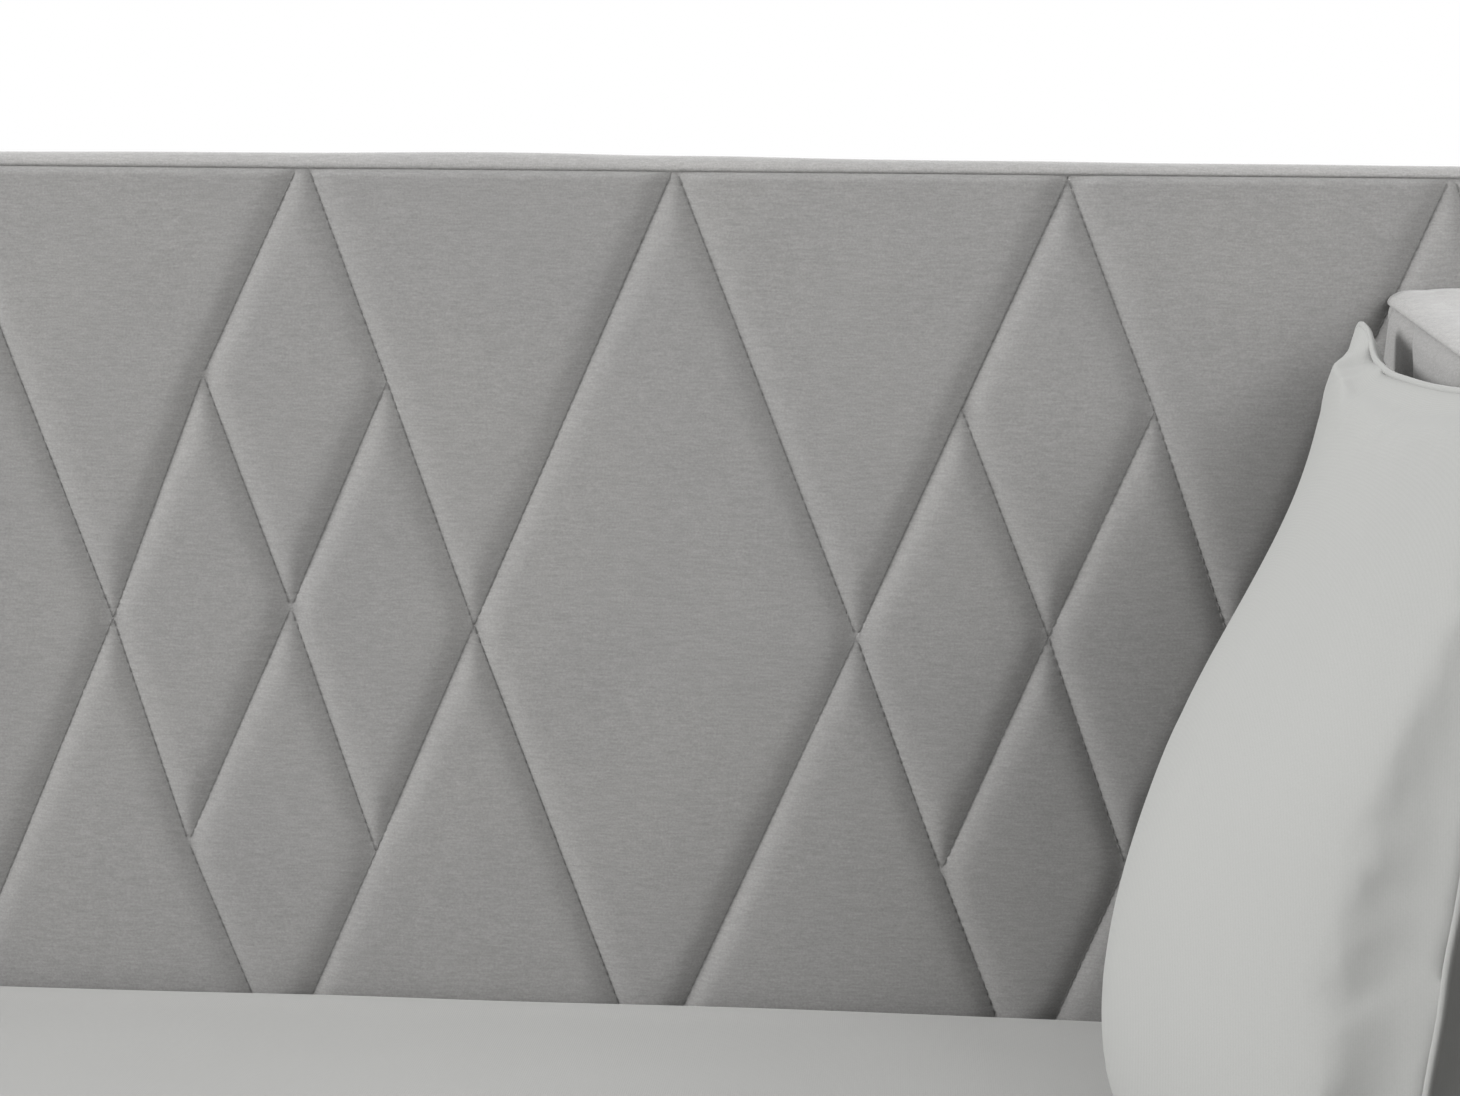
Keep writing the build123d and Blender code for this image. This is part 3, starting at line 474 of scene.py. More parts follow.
def quilt(cells, rows, x_lo, x_hi, big, small, extra, depth=3.5, width=16.5, power=2.4):
    """Points (x, z, height) and quads of padded cells, with a dimple at each stitch hole; extra gives the rise next to the panel's own edges."""
    verts, quads, base = [], [], 0
    for left, right, is_small in cells:
        t = columns(small if is_small else big)
        lz = np.array([p[1] for p in left])[::-1]
        lx = np.array([p[0] for p in left])[::-1]
        rz = np.array([p[1] for p in right])[::-1]
        rx = np.array([p[0] for p in right])[::-1]
        zs = rows[(rows <= lz[-1] + 1e-6) & (rows >= lz[0] - 1e-6)]
        if len(zs) < 2:
            continue
        xl = np.clip(np.interp(zs, lz, lx), x_lo, x_hi)
        xr = np.clip(np.interp(zs, rz, rx), x_lo, x_hi)
        keep = xr - xl > -1e-9
        wide = xr - xl > 1e-6
        if not wide.any():
            continue
        i0, i1 = np.argmax(wide), len(wide) - np.argmax(wide[::-1])
        i0, i1 = max(i0 - 1, 0), min(i1 + 1, len(zs))
        zs, xl, xr = zs[i0:i1], xl[i0:i1], xr[i0:i1]
        X = xl[:, None] + (xr - xl)[:, None] * t[None, :]
        Z = np.repeat(zs[:, None], len(t), 1)
        h = np.ones_like(X)
        scal = np.zeros_like(X)
        dmin = np.full_like(X, 1e9)
        for chain, side in ((left, 1), (right, -1)):
            for pts in sides_of(chain):
                d = line_gap(X, Z, pts, side)
                h *= rise(d, width, power)
                dmin = np.minimum(dmin, d)
        h *= extra(X, Z)
        swell = 1.0 - np.exp(-dmin / 38.0)
        near = np.exp(-dmin / 2.4)
        scal = -0.58 * (0.5 + 0.5 * np.cos(2 * math.pi * Z / STITCH)) ** 3 * near * (0.8 + 0.35 * LUMP2(X * 3, Z * 3))
        pucker = 0.22 * PUCKER(X, Z) * np.exp(-dmin / 9.0) * (1 - near)
        H = depth * h + (1.1 * swell + 0.55 * LUMP(X, Z) + 0.18 * LUMP2(X, Z)) * h + pucker * h + scal
        verts.append(np.stack([X, Z, H], -1).reshape(-1, 3))
        n, m = X.shape
        i = np.arange(n - 1)[:, None] * m + np.arange(m - 1)[None, :]
        quads.append((base + np.stack([i, i + 1, i + m + 1, i + m], -1)).reshape(-1, 4))
        base += n * m
    return np.concatenate(verts), np.concatenate(quads)


def seam_lines(cells):
    """Each straight seam between two crossings once."""
    seen, out = set(), []
    for left, right, _ in cells:
        for chain in (left, right):
            for p, q in zip(chain[:-1], chain[1:]):
                key = (round(p[0], 2), round(p[1], 2), round(q[0], 2), round(q[1], 2))
                if key not in seen:
                    seen.add(key)
                    out.append((p, q))
    return out


RING = [(math.cos(a), math.sin(a)) for a in np.linspace(0, 2 * math.pi, 6)[:-1]]


def stitch_tubes(paths, radius=0.3):
    """Short thread tubes; each path is 5 points (mm) with an outward direction."""
    verts, quads, tris = [], [], []
    size = (0.55, 0.95, 1.0, 0.95, 0.55)
    base = 0
    for pts, out in paths:
        pts = np.asarray(pts, float)
        d = pts[-1] - pts[0]
        d /= np.linalg.norm(d)
        side = np.cross(d, out)
        side /= np.linalg.norm(side)
        up = np.cross(side, d)
        for p, s in zip(pts, size):
            for c, w in RING:
                verts.append(p + radius * s * (c * side + w * up))
        for j in range(4):
            for i in range(5):
                a, b = base + j * 5 + i, base + j * 5 + (i + 1) % 5
                quads.append((a, b, b + 5, a + 5))
        for j, flip in ((0, 1), (4, 0)):
            ring = [base + j * 5 + i for i in range(5)]
            if flip:
                ring = ring[::-1]
            tris += [(ring[0], ring[1], ring[2]), (ring[0], ring[2], ring[3]), (ring[0], ring[3], ring[4])]
        base += 25
    return np.array(verts), np.array(quads), np.array(tris)


def seam_stitches(lines, x_lo, x_hi, z_lo, z_hi, to_world, seed, inside=None):
    """Thread along slanted seams: one stitch every STITCH mm of height."""
    r = np.random.default_rng(seed)
    paths = []
    for p, q in lines:
        top, bot = (p, q) if p[1] > q[1] else (q, p)
        if top[1] - bot[1] < 1e-6:
            continue
        for m in range(int(math.ceil(bot[1] / STITCH)), int(math.floor(top[1] / STITCH))):
            z0, z1 = m * STITCH + 0.25, (m + 1) * STITCH - 0.25
            f = lambda z: top[0] + (bot[0] - top[0]) * (top[1] - z) / (top[1] - bot[1])
            if z0 < z_lo or z1 > z_hi or not x_lo < f(z0) < x_hi or not x_lo < f(z1) < x_hi:
                continue
            if inside is not None and not (inside(f(z0), z0) and inside(f(z1), z1)):
                continue
            sx = r.uniform(-0.12, 0.12)
            pts = []
            for t, up in ((0, -0.55), (0.2, -0.1), (0.5, 0.05), (0.8, -0.1), (1, -0.55)):
                z = z0 + (z1 - z0) * t
                pts.append(to_world(f(z) + sx * (t - 0.5), z, up))
            paths.append((pts, to_world(0, 0, 1) - to_world(0, 0, 0)))
    return paths


# ------------------------------------------------------------------ quilted back
def back_edges(x, z):
    return (rise(SEAM_TOP - z, 4.5, 2.0) * rise(z - Z_QUILT0, 10.0) * rise(XB - x, 10.0) * rise(x + XB, 10.0))


def rows_between(lo, hi, fine_from, fine, coarse):
    a = np.arange(round(lo / coarse), round(fine_from / coarse)) * coarse
    b = np.arange(round(fine_from / fine), round(hi / fine) + 1) * fine
    return np.concatenate([a, b])


back_pieces = []
ALL_BACK_CELLS = []
for name, k0, k1, fine in (("back_quilt_a", -6, -2, False), ("back_quilt_b", -2, 1, False),
                           ("back_quilt_c", 1, 3, True), ("back_quilt_d", 3, 4, True), ("back_quilt_e", 4, 6, True)):
    cells = cells_for(k0, k1, [0, 2])
    ALL_BACK_CELLS += cells
    rows = rows_between(Z_QUILT0, SEAM_TOP, 440.0, ROW if fine else 2 * ROW, 2 * ROW)
    rows = np.append(rows[rows < SEAM_TOP - 0.3], SEAM_TOP)
    v, q = quilt(cells, rows, -XB, XB, BIG if fine else BIG_C, SMALL if fine else SMALL_C, back_edges)
    v = np.stack([v[:, 0], VALLEY - v[:, 2], v[:, 1]], 1)
    v, q, t = weld(v, q)
    o = make_obj(name, v, [q, t], M_VELVET)
    close_flat(o, 1, 487.0)
    back_pieces.append(o)

lines = seam_lines(ALL_BACK_CELLS)
paths = seam_stitches(lines, -XB + 4, XB - 4, Z_QUILT0 + 4, SEAM_TOP - 2.5,
                      lambda x, z, up: np.array([x, VALLEY - 0.35 - up, z]), 21)
v, q, t = stitch_tubes(paths)
back_thread = make_obj("back_seam_thread", v, [q, t], M_THREAD)


# ------------------------------------------------------------------ boxing strips
def strip(name, path, normals, lo, hi, crown, axis_of, mat, seed, drop=7.8, wob=0.2, lift=None):
    """Padded strip along a path of (a, b) points: between the seams at lo and hi, bulging along the normals."""
    path, normals = np.asarray(path, float), np.asarray(normals, float)
    w = waves(seed, 90.0)
    w2 = waves(seed + 1, 260.0)
    # across the strip: distance in from the seam, height below the crown
    k = drop / 7.8
    half = [(0.0, -7.8 * k), (-1.3, -7.5 * k), (-1.9, -6.8 * k), (-2.0, -5.9 * k), (-1.6, -4.8 * k), (-0.7, -3.6 * k),
            (0.9, -2.4 * k), (3.3, -1.3 * k), (6.8, -0.5 * k), (11.5, -0.1 * k), (17.5, 0.0)]
    span = hi - lo
    across = [(lo + a, b) for a, b in half]
    mids = np.linspace(lo + 22, hi - 22, 8)
    across += [(m, crown * math.sin(math.pi * (m - lo - 17.5) / (span - 35))) for m in mids]
    across += [(hi - a, b) for a, b in half[::-1]]
    ca = np.array(across)
    s = np.concatenate([[0], np.cumsum(np.hypot(*np.diff(path, axis=0).T))])
    verts = []
    for j in range(len(path)):
        h = ca[:, 1].copy()
        free = np.clip((h + drop) / drop, 0, 1)
        h = h + free * (wob * w(np.full(len(h), s[j]), ca[:, 0] * 2) + 0.25 * w2(s[j], ca[:, 0]))
        if lift is not None:
            h = h + free * lift(path[j])
        p = path[j][None, :] + normals[j][None, :] * h[:, None]
        verts.append(axis_of(p, ca[:, 0]))
    n, m = len(path), len(ca)
    i = np.arange(n - 1)[:, None] * m + np.arange(m - 1)[None, :]
    quads = np.stack([i, i + 1, i + m + 1, i + m], -1).reshape(-1, 4)
    # flat underside and ends, so the strip is a closed pad
    verts = np.stack(verts)
    under = np.stack([axis_of(path[j][None, :] + normals[j][None, :] * (-drop - 1.0) * np.ones((2, 1)),
                              np.array([lo, hi])) for j in range(n)])
    base = n * m
    allv = np.concatenate([verts.reshape(-1, 3), under.reshape(-1, 3)])
    k = np.arange(n - 1)
    u0, u1 = base + 2 * k, base + 2 * k + 1
    q2 = np.stack([u0, u0 + 2, u1 + 2, u1], -1)
    q3 = np.stack([k * m, (k + 1) * m, u0 + 2, u0], -1)
    q4 = np.stack([u1, u1 + 2, (k + 1) * m + m - 1, k * m + m - 1], -1)
    ends = [list(range(m)) + [base + 1, base], [(n - 1) * m + c for c in range(m)][::-1] + [base + 2 * (n - 1), base + 2 * (n - 1) + 1]]
    o = make_obj(name, allv, [np.concatenate([quads, q2, q3, q4])] + [np.array([e]) for e in ends], mat)
    bm = bmesh.new()
    bm.from_mesh(o.data)
    bmesh.ops.recalc_face_normals(bm, faces=bm.faces[:])
    bm.to_mesh(o.data)
    bm.free()
    return o


def straight(p, q, step):
    n = max(2, int(math.hypot(q[0] - p[0], q[1] - p[1]) / step))
    return [(p[0] + (q[0] - p[0]) * i / n, p[1] + (q[1] - p[1]) * i / n) for i in range(n)]


def arc(c, r, a0, a1, n):
    return [(c[0] + r * math.cos(math.radians(a0 + (a1 - a0) * i / n)), c[1] + r * math.sin(math.radians(a0 + (a1 - a0) * i / n)))
            for i in range(n)]


def path_normals(pts):
    """Normals to the left of the direction of travel."""
    p = np.asarray(pts, float)
    d = np.gradient(p, axis=0)
    d /= np.linalg.norm(d, axis=1)[:, None]
    return np.stack([-d[:, 1], d[:, 0]], 1)


# over the back: up the left end, along the top, down the right end
RC = 16.0
bp = straight((-X_OUT, Z_BASE), (-X_OUT, BACK_TOP - RC), 12.0)
bp += arc((-X_OUT + RC, BACK_TOP - RC), RC, 180, 90, 10)
bp += straight((-X_OUT + RC, BACK_TOP), (X_OUT - RC, BACK_TOP), 6.0)
bp += arc((X_OUT - RC, BACK_TOP - RC), RC, 90, 0, 10)
bp += straight((X_OUT, BACK_TOP - RC), (X_OUT, Z_BASE), 12.0) + [(X_OUT, Z_BASE)]
back_strip = strip("back_boxing_strip", bp, path_normals(bp), 480.6, 551.6, 0.6,
                   lambda p, y: np.stack([p[:, 0], y + 0 * p[:, 0], p[:, 1]], 1), M_STRIP_PAINTED_LIGHT, 31,
                   lift=lambda p: 0.7 - 1.2 * ease((p[0] - 600.0) / 300.0) + 1.7 * math.exp(-((p[0] - 520.0) / 95.0) ** 2))


# ------------------------------------------------------------------ arms
SLOPE = math.atan2(ARM_REAR - ARM_FRONT, 2 * Y_OUT - 80.0)
CY = -Y_OUT + ARM_ROUND
CZ = ARM_FRONT + ARM_ROUND * math.tan(SLOPE) - ARM_ROUND / math.cos(SLOPE)


def arm_line(y, off):
    return ARM_FRONT + (y + Y_OUT) * math.tan(SLOPE) - off / math.cos(SLOPE)


def arm_planes(off):
    """Half planes (point, outward normal) in (y, z) of the arm's side outline, moved in by off."""
    r = ARM_ROUND - off
    out = [((0.0, arm_line(0.0, off)), (-math.sin(SLOPE), math.cos(SLOPE)))]
    for i in range(1, 12):
        a = math.radians(90.0 + math.degrees(SLOPE) + (90.0 - math.degrees(SLOPE)) * i / 12)
        n = (math.cos(a), math.sin(a))
        out.append(((CY + r * n[0], CZ + r * n[1]), n))
    out.append(((CY - r, 0.0), (-1.0, 0.0)))
    return out


ARM_OFF = 8.0
PLANES = arm_planes(ARM_OFF)


def outline_gap(y, z):
    """Distance in from the arm's outline (top, rounded corner, front)."""
    d = np.full(np.broadcast(y, z).shape, 1e9)
    for (py, pz), (ny, nz) in PLANES:
        d = np.minimum(d, -((y - py) * ny + (z - pz) * nz))
    return d


arm_soft = []
for s, side in ((-1, "left"), (1, "right")):
    # the diamonds go on round the corner: s runs from the back to the front of the arm
    start = 475.0 + SEAT_X

    def arm_edges(a, z):
        y = start - a
        return rise(np.maximum(outline_gap(y, z), 0), 9.0, 2.0) * rise(z - Z_BASE, 8.0)

    cells = cells_for(4, 11, [0, 2, 4], seen=False)
    rows = np.arange(round(Z_BASE / 2.5), round(860 / 2.5)) * 2.5
    v, q = quilt(cells, rows, start - 475.0, start + 556.0, BIG, SMALL, arm_edges)
    valley = SEAT_X + 5.2
    v3 = np.stack([s * (valley - v[:, 2]), start - v[:, 0], v[:, 1]], 1)
    v3, q, t = weld(v3, q)
    o = make_obj(side + "_arm_quilt", v3, [q, t], M_VELVET)
    close_flat(o, 0, s * 975.0, [((0, p[0], p[1]), (0, n[0], n[1])) for p, n in PLANES])
    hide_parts(side + "_arm_quilted_cover")
    arm_soft.append(o)
    inside = lambda a, z: float(outline_gap(np.array(start - a), np.array(z))) > 2.5
    paths = seam_stitches(seam_lines(cells), start - 475.0, start + 555.0, Z_BASE + 4, 850.0,
                          lambda a, z, up: np.array([s * (valley - 0.35 - up), start - a, z]), 40 + s, inside)
    tv, tq, tt = stitch_tubes(paths)
    th = make_obj(side + "_arm_seam_thread", tv, [tq, tt], M_THREAD)
    arm_soft.append(th)

    # outer side: plain velvet over padding
    ys = np.unique(np.concatenate([np.arange(-552, 470, 9.0), [472, 475, 476.7, 478.0]]))
    zs = np.unique(np.concatenate([[120, 121.5, 124, 128], np.arange(133, 860, 9.0)]))
    Y, Z = np.meshgrid(ys, zs)
    lump = waves(50 + s, 230.0)
    gap = np.maximum(outline_gap(Y, Z), 0)
    h = 8.0 * rise(gap, 10.0, 2.0) * rise(Z - Z_BASE + 0.5, 7.0) * rise(478.5 - Y, 6.0)
    h = h * (1 + 0.07 * lump(Y, Z)) + 0.8 * (1 - np.exp(-gap / 120.0))
    pv = np.stack([s * (1031.5 + h), Y, Z], -1).reshape(-1, 3)
    n, m = Y.shape
    i = np.arange(n - 1)[:, None] * m + np.arange(m - 1)[None, :]
    pq = np.stack([i, i + 1, i + m + 1, i + m], -1).reshape(-1, 4)
    o = make_obj(side + "_arm_outer_panel", pv, [pq], M_VELVET)
    close_flat(o, 0, s * 1030.0, [((0, p[0], p[1]), (0, nn[0], nn[1])) for p, nn in PLANES])
    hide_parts(side + "_arm_outer_cover")
    arm_soft.append(o)

    # boxing strip: from the back along the sloped top, round the corner and down the front
    r = ARM_ROUND
    tan = (CY - r * math.sin(SLOPE), CZ + r * math.cos(SLOPE))
    ap = straight((475.0, arm_line(475.0, 0.0)), tan, 9.0)
    ap += arc((CY, CZ), r, 90 + math.degrees(SLOPE), 180, 22)
    ap += straight((-Y_OUT, CZ), (-Y_OUT, Z_BASE), 10.0) + [(-Y_OUT, Z_BASE)]
    nrm = -path_normals(ap)
    o = strip(side + "_arm_boxing_strip", ap, nrm, 970.6, 1036.0, 1.2,
              lambda p, x, s=s: np.stack([s * x + 0 * p[:, 0], p[:, 0], p[:, 1]], 1), M_STRIP_PAINTED_LIGHT, 60 + s, drop=8.2)
    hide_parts(side + "_arm_border")
    arm_soft.append(o)

# ------------------------------------------------------------------ rear of the back
xs = np.unique(np.concatenate([np.arange(-1020, 1021, 12.0), [-1032, -1031, -1029, -1025.5, 1025.5, 1029, 1031, 1032]]))
zs = np.unique(np.concatenate([[120, 121.5, 124, 128], np.arange(134, 896, 12.0), [898, 902, 905, 907]]))
X, Z = np.meshgrid(xs, zs)
lump = waves(71, 300.0)
h = 5.0 * rise(XB - np.abs(X) + 0.3, 9.0, 2.0) * rise(907.3 - Z, 9.0, 2.0) * rise(Z - Z_BASE + 0.5, 6.0)
h = h * (1 + 0.10 * lump(X, Z))
pv = np.stack([X, 549.3 + h * 0.86, Z], -1).reshape(-1, 3)
n, m = X.shape
i = np.arange(n - 1)[:, None] * m + np.arange(m - 1)[None, :]
pq = np.stack([i, i + m, i + m + 1, i + 1], -1).reshape(-1, 4)
rear_panel = make_obj("back_rear_panel", pv, [pq], M_VELVET)
close_flat(rear_panel, 1, 549.0)

# ------------------------------------------------------------------ front rail
YF0, YF1, ZF0, ZF1 = -555.0, -510.0, 120.0, 330.0
R = 9.0
sec = []
for (cy, cz, a0) in ((YF1 - R, ZF1 - R, 0), (YF0 + R, ZF1 - R, 90), (YF0 + R, ZF0 + R, 180), (YF1 - R, ZF0 + R, 270)):
    sec += arc((cy, cz), R, a0, a0 + 90, 6) + [(cy + R * math.cos(math.radians(a0 + 90)), cz + R * math.sin(math.radians(a0 + 90)))]
full = []
for a, b in zip(sec, sec[1:] + sec[:1]):
    full += straight(a, b, 12.0) if math.hypot(a[0] - b[0], a[1] - b[1]) > 14 else [a]
full = np.array(full)
c = np.array([(YF0 + YF1) / 2, (ZF0 + ZF1) / 2])
xs = np.unique(np.concatenate([np.linspace(-964, 964, 170), [-963.5, -962, -960, -957, -953, 953, 957, 960, 962, 963.5]]))
lump = waves(81, 260.0)
lump2 = waves(82, 90.0)
verts = []
for x in xs:
    e = 1.0 - 0.10 * (1 - float(rise(np.array(964.6 - abs(x)), 9.0, 2.0)))
    p = full.copy()
    d = p - c
    front = np.clip((YF0 + 6 - p[:, 0]) / 6, 0, 1)
    top = np.clip((p[:, 1] - (ZF1 - 4)) / 4, 0, 1)
    p = c + d * np.array([1 - (1 - e) * 1.6, 1 - (1 - e) * 0.35])
    bul = (0.9 * lump(x, p[:, 1]) + 0.3 * lump2(x, p[:, 1]))
    p[:, 0] -= front * (0.8 + bul * 0.7) * np.sin(np.pi * np.clip((full[:, 1] - ZF0) / (ZF1 - ZF0), 0, 1)) ** 0.5
    p[:, 1] += top * bul * 0.5
    verts.append(np.stack([np.full(len(p), x), p[:, 0], p[:, 1]], 1))
n, m = len(xs), len(full)
i = (np.arange(n - 1)[:, None] * m + np.arange(m)[None, :])
j = (np.arange(n - 1)[:, None] * m + (np.arange(m)[None, :] + 1) % m)
rq = np.stack([i, j, j + m, i + m], -1).reshape(-1, 4)
front_pad = make_obj("front_rail_pad", np.concatenate(verts), [rq, np.array([list(range(m))]), np.array([[(n - 1) * m + k for k in range(m)][::-1]])], M_VELVET)
bm = bmesh.new()
bm.from_mesh(front_pad.data)
bmesh.ops.recalc_face_normals(bm, faces=bm.faces[:])
bm.to_mesh(front_pad.data)
bm.free()

# ------------------------------------------------------------------ mattress
ML, MW, MH, MZ0, MYC, MR = 1905.0, 965.0, 200.0, 262.0, -494.0 + 482.5, 40.0


def plan_ring(inset, count=520):
    """Rounded rectangle of the mattress plan, moved in by inset, as points with equal shares of the outline."""
    hx, hy = ML / 2 - inset, MW / 2 - inset
    r = max(MR - inset, 0.5)
    r = min(r, hy * 0.98) if hy > 0.5 else 0.25
    hx, hy = max(hx, r + 0.01), max(hy, r + 0.01)
    pts = []
    for (cx, cy, a0) in ((hx - r, hy - r, 0), (-hx + r, hy - r, 90), (-hx + r, -hy + r, 180), (hx - r, -hy + r, 270)):
        pts += [(cx + r * math.cos(math.radians(a0 + 90 * t / 8)), cy + r * math.sin(math.radians(a0 + 90 * t / 8))) for t in range(9)]
    return np.array(pts)


def densify(ring, shares):
    """Points on each side of a ring at the same shares, so that rings match one another."""
    out = []
    n = len(ring)
    for a in range(n):
        p, q = ring[a], ring[(a + 1) % n]
        k = shares[a]
        for t in range(k):
            out.append(p + (q - p) * t / k)
    return np.array(out)


ring0 = plan_ring(0.0)
shares = [max(1, int(np.hypot(*(ring0[(a + 1) % len(ring0)] - ring0[a])) / 14.0)) for a in range(len(ring0))]
RT, RE = 11.0, 24.0
prof = []
insets_top = [470, 440, 400, 350, 300, 250, 210, 170, 140, 115, 95, 80, 68, 58, 50, 43, 37, 32, 28]
prof += [(d, MZ0 + MH) for d in [481.5] + insets_top]
prof += [(d, MZ0 + MH) for d in (24, 20.5, 17, 14)]
for t in range(9):
    a = math.radians(90 - 90 * t / 8)
    prof.append((RT - RT * math.cos(a), MZ0 + MH - RT + RT * math.sin(a)))
prof += [(0.0, z) for z in np.linspace(MZ0 + MH - RT, MZ0 + RE, 13)[1:-1]]
for t in range(9):
    a = math.radians(-90 * t / 8)
    prof.append((RE - RE * math.cos(a), MZ0 + RE + RE * math.sin(a)))
prof += [(d, MZ0) for d in insets_top[::-1] + [481.5]]
lump = waves(91, 380.0)
lump2 = waves(92, 120.0)


def side_out(x, y, z):
    return 1.2 * (lump(x * 1.3, z * 3 + y * 1.3) - 0.9)


def pushed_up(x, y):
    """The rear edge is pressed against the back, which squeezes it up a little."""
    a = 2.3 + 0.7 * np.exp(-((x - 420.0) / 70.0) ** 2) + 0.6 * np.exp(-((x - 620.0) / 90.0) ** 2) - 0.9 * np.exp(-((x - 830.0) / 80.0) ** 2)
    return a * np.exp(-((y - 464.0) / 20.0) ** 2) * np.clip((930.0 - np.abs(x)) / 120.0, 0.0, 1.0)


verts = []
for d, z in prof:
    ring = densify(plan_ring(d), shares)
    x, y = ring[:, 0], ring[:, 1]
    zz = np.full(len(ring), z)
    up = ease((z - (MZ0 + MH - RT)) / RT)
    edge = min(1.0, d / 90.0)
    zz = zz + up * ((0.6 * lump(x, y) + 0.35 * lump2(x, y)) * edge - 0.2 * (1 - edge) + pushed_up(x, y + MYC))
    out = math.exp(-(d / 6.0) ** 2) * side_out(x, y, z)
    nx = np.where(np.abs(x) > ML / 2 - MR - d, np.sign(x), 0.0)
    ny = np.where(np.abs(y) > MW / 2 - MR - d, np.sign(y), 0.0)
    verts.append(np.stack([x + nx * out, y + ny * out + MYC, zz], 1))
n, m = len(prof), len(verts[0])
i = np.arange(n - 1)[:, None] * m + np.arange(m)[None, :]
j = np.arange(n - 1)[:, None] * m + (np.arange(m)[None, :] + 1) % m
mq = np.stack([i, i + m, j + m, j], -1).reshape(-1, 4)
mattress = make_obj("mattress_cover", np.concatenate(verts), [mq, np.array([list(range(m))]), np.array([[(n - 1) * m + k for k in range(m)][::-1]])], M_MATTRESS)
bm = bmesh.new()
bm.from_mesh(mattress.data)
bmesh.ops.recalc_face_normals(bm, faces=bm.faces[:])
bm.to_mesh(mattress.data)
bm.free()


def cord_ring(name, pts, radius, mat, sides=8):
    """Closed round cord through points in mm."""
    pts = np.asarray(pts, float)
    d = np.roll(pts, -1, 0) - np.roll(pts, 1, 0)
    d /= np.linalg.norm(d, axis=1)[:, None]
    c = pts.mean(0)
    out = pts - c
    out -= d * (out * d).sum(1)[:, None]
    out /= np.linalg.norm(out, axis=1)[:, None]
    bi = np.cross(d, out)
    n = len(pts)
    ang = np.linspace(0, 2 * math.pi, sides, endpoint=False)
    ring = pts[:, None, :] + radius * (np.cos(ang)[None, :, None] * out[:, None, :] + np.sin(ang)[None, :, None] * bi[:, None, :])
    i = np.arange(n)[:, None] * sides + np.arange(sides)[None, :]
    j = np.arange(n)[:, None] * sides + (np.arange(sides)[None, :] + 1) % sides
    k = np.roll(i, -1, 0)
    l = np.roll(j, -1, 0)
    return make_obj(name, ring.reshape(-1, 3), [np.stack([i, j, l, k], -1).reshape(-1, 4)], mat)


# piped seams where the border meets the top and the bottom panel
mattress_piping = []
for name, z in (("mattress_top_piping", MZ0 + MH - 24.0), ("mattress_bottom_piping", MZ0 + 24.0)):
    ring = densify(plan_ring(0.0), shares)
    x, y = ring[:, 0], ring[:, 1]
    out = side_out(x, y, z)
    nx = np.where(np.abs(x) > ML / 2 - MR, np.sign(x), 0.0)
    ny = np.where(np.abs(y) > MW / 2 - MR, np.sign(y), 0.0)
    mattress_piping.append(cord_ring(name, np.stack([x + nx * (out + 0.3), y + ny * (out + 0.3) + MYC, np.full(len(x), z)], 1), 1.5, M_MATTRESS))

# ------------------------------------------------------------------ cushion
# side outline (x, height above the base) of the filled cushion as it leans on the arm
CU_Y, CU_HALF, CU_Z0 = 205.0, 222.0, 463.5
FRONT = np.array([(893, -8), (852, 2), (824, 40), (821.5, 80), (827.5, 120), (838.5, 158), (851.5, 195), (873, 232), (896, 268),
                  (919, 302), (936, 338), (946, 362)], float)
REAR = np.array([(893, -8), (922, 3), (942, 40), (949, 120), (951, 220), (952, 296), (952, 336), (950, 355), (946, 362)], float)


def along(curve, n):
    d = np.concatenate([[0], np.cumsum(np.hypot(*np.diff(curve, axis=0).T))])
    t = np.linspace(0, d[-1], n)
    x, z = np.interp(t, d, curve[:, 0]), np.interp(t, d, curve[:, 1])
    for _ in range(10):
        x[1:-1] = (x[:-2] + 2 * x[1:-1] + x[2:]) / 4
        z[1:-1] = (z[:-2] + 2 * z[1:-1] + z[2:]) / 4
    return x, z


def cushion_point(px, pz, sx, sz, a, b):
    """Point of one face: a runs across (-1 to 1), b up (0 to 1); the faces meet in the seam at a = -1 and 1."""
    full = (1 - np.abs(a) ** 2.0) ** 0.9
    x = sx + (px - sx) * full
    z = sz + (pz - sz) * full
    y = CU_HALF * a * (1.03 - 0.085 * np.sin(math.pi * b) ** 1.1)
    # the top edge is drawn down between the corners, which stand up as ears
    z = z + 17.0 * b ** 3 * (np.abs(a) ** 2.2 - 0.35)
    return np.stack([x + 0 * a, y + CU_Y + 0 * b, z + CU_Z0], -1)


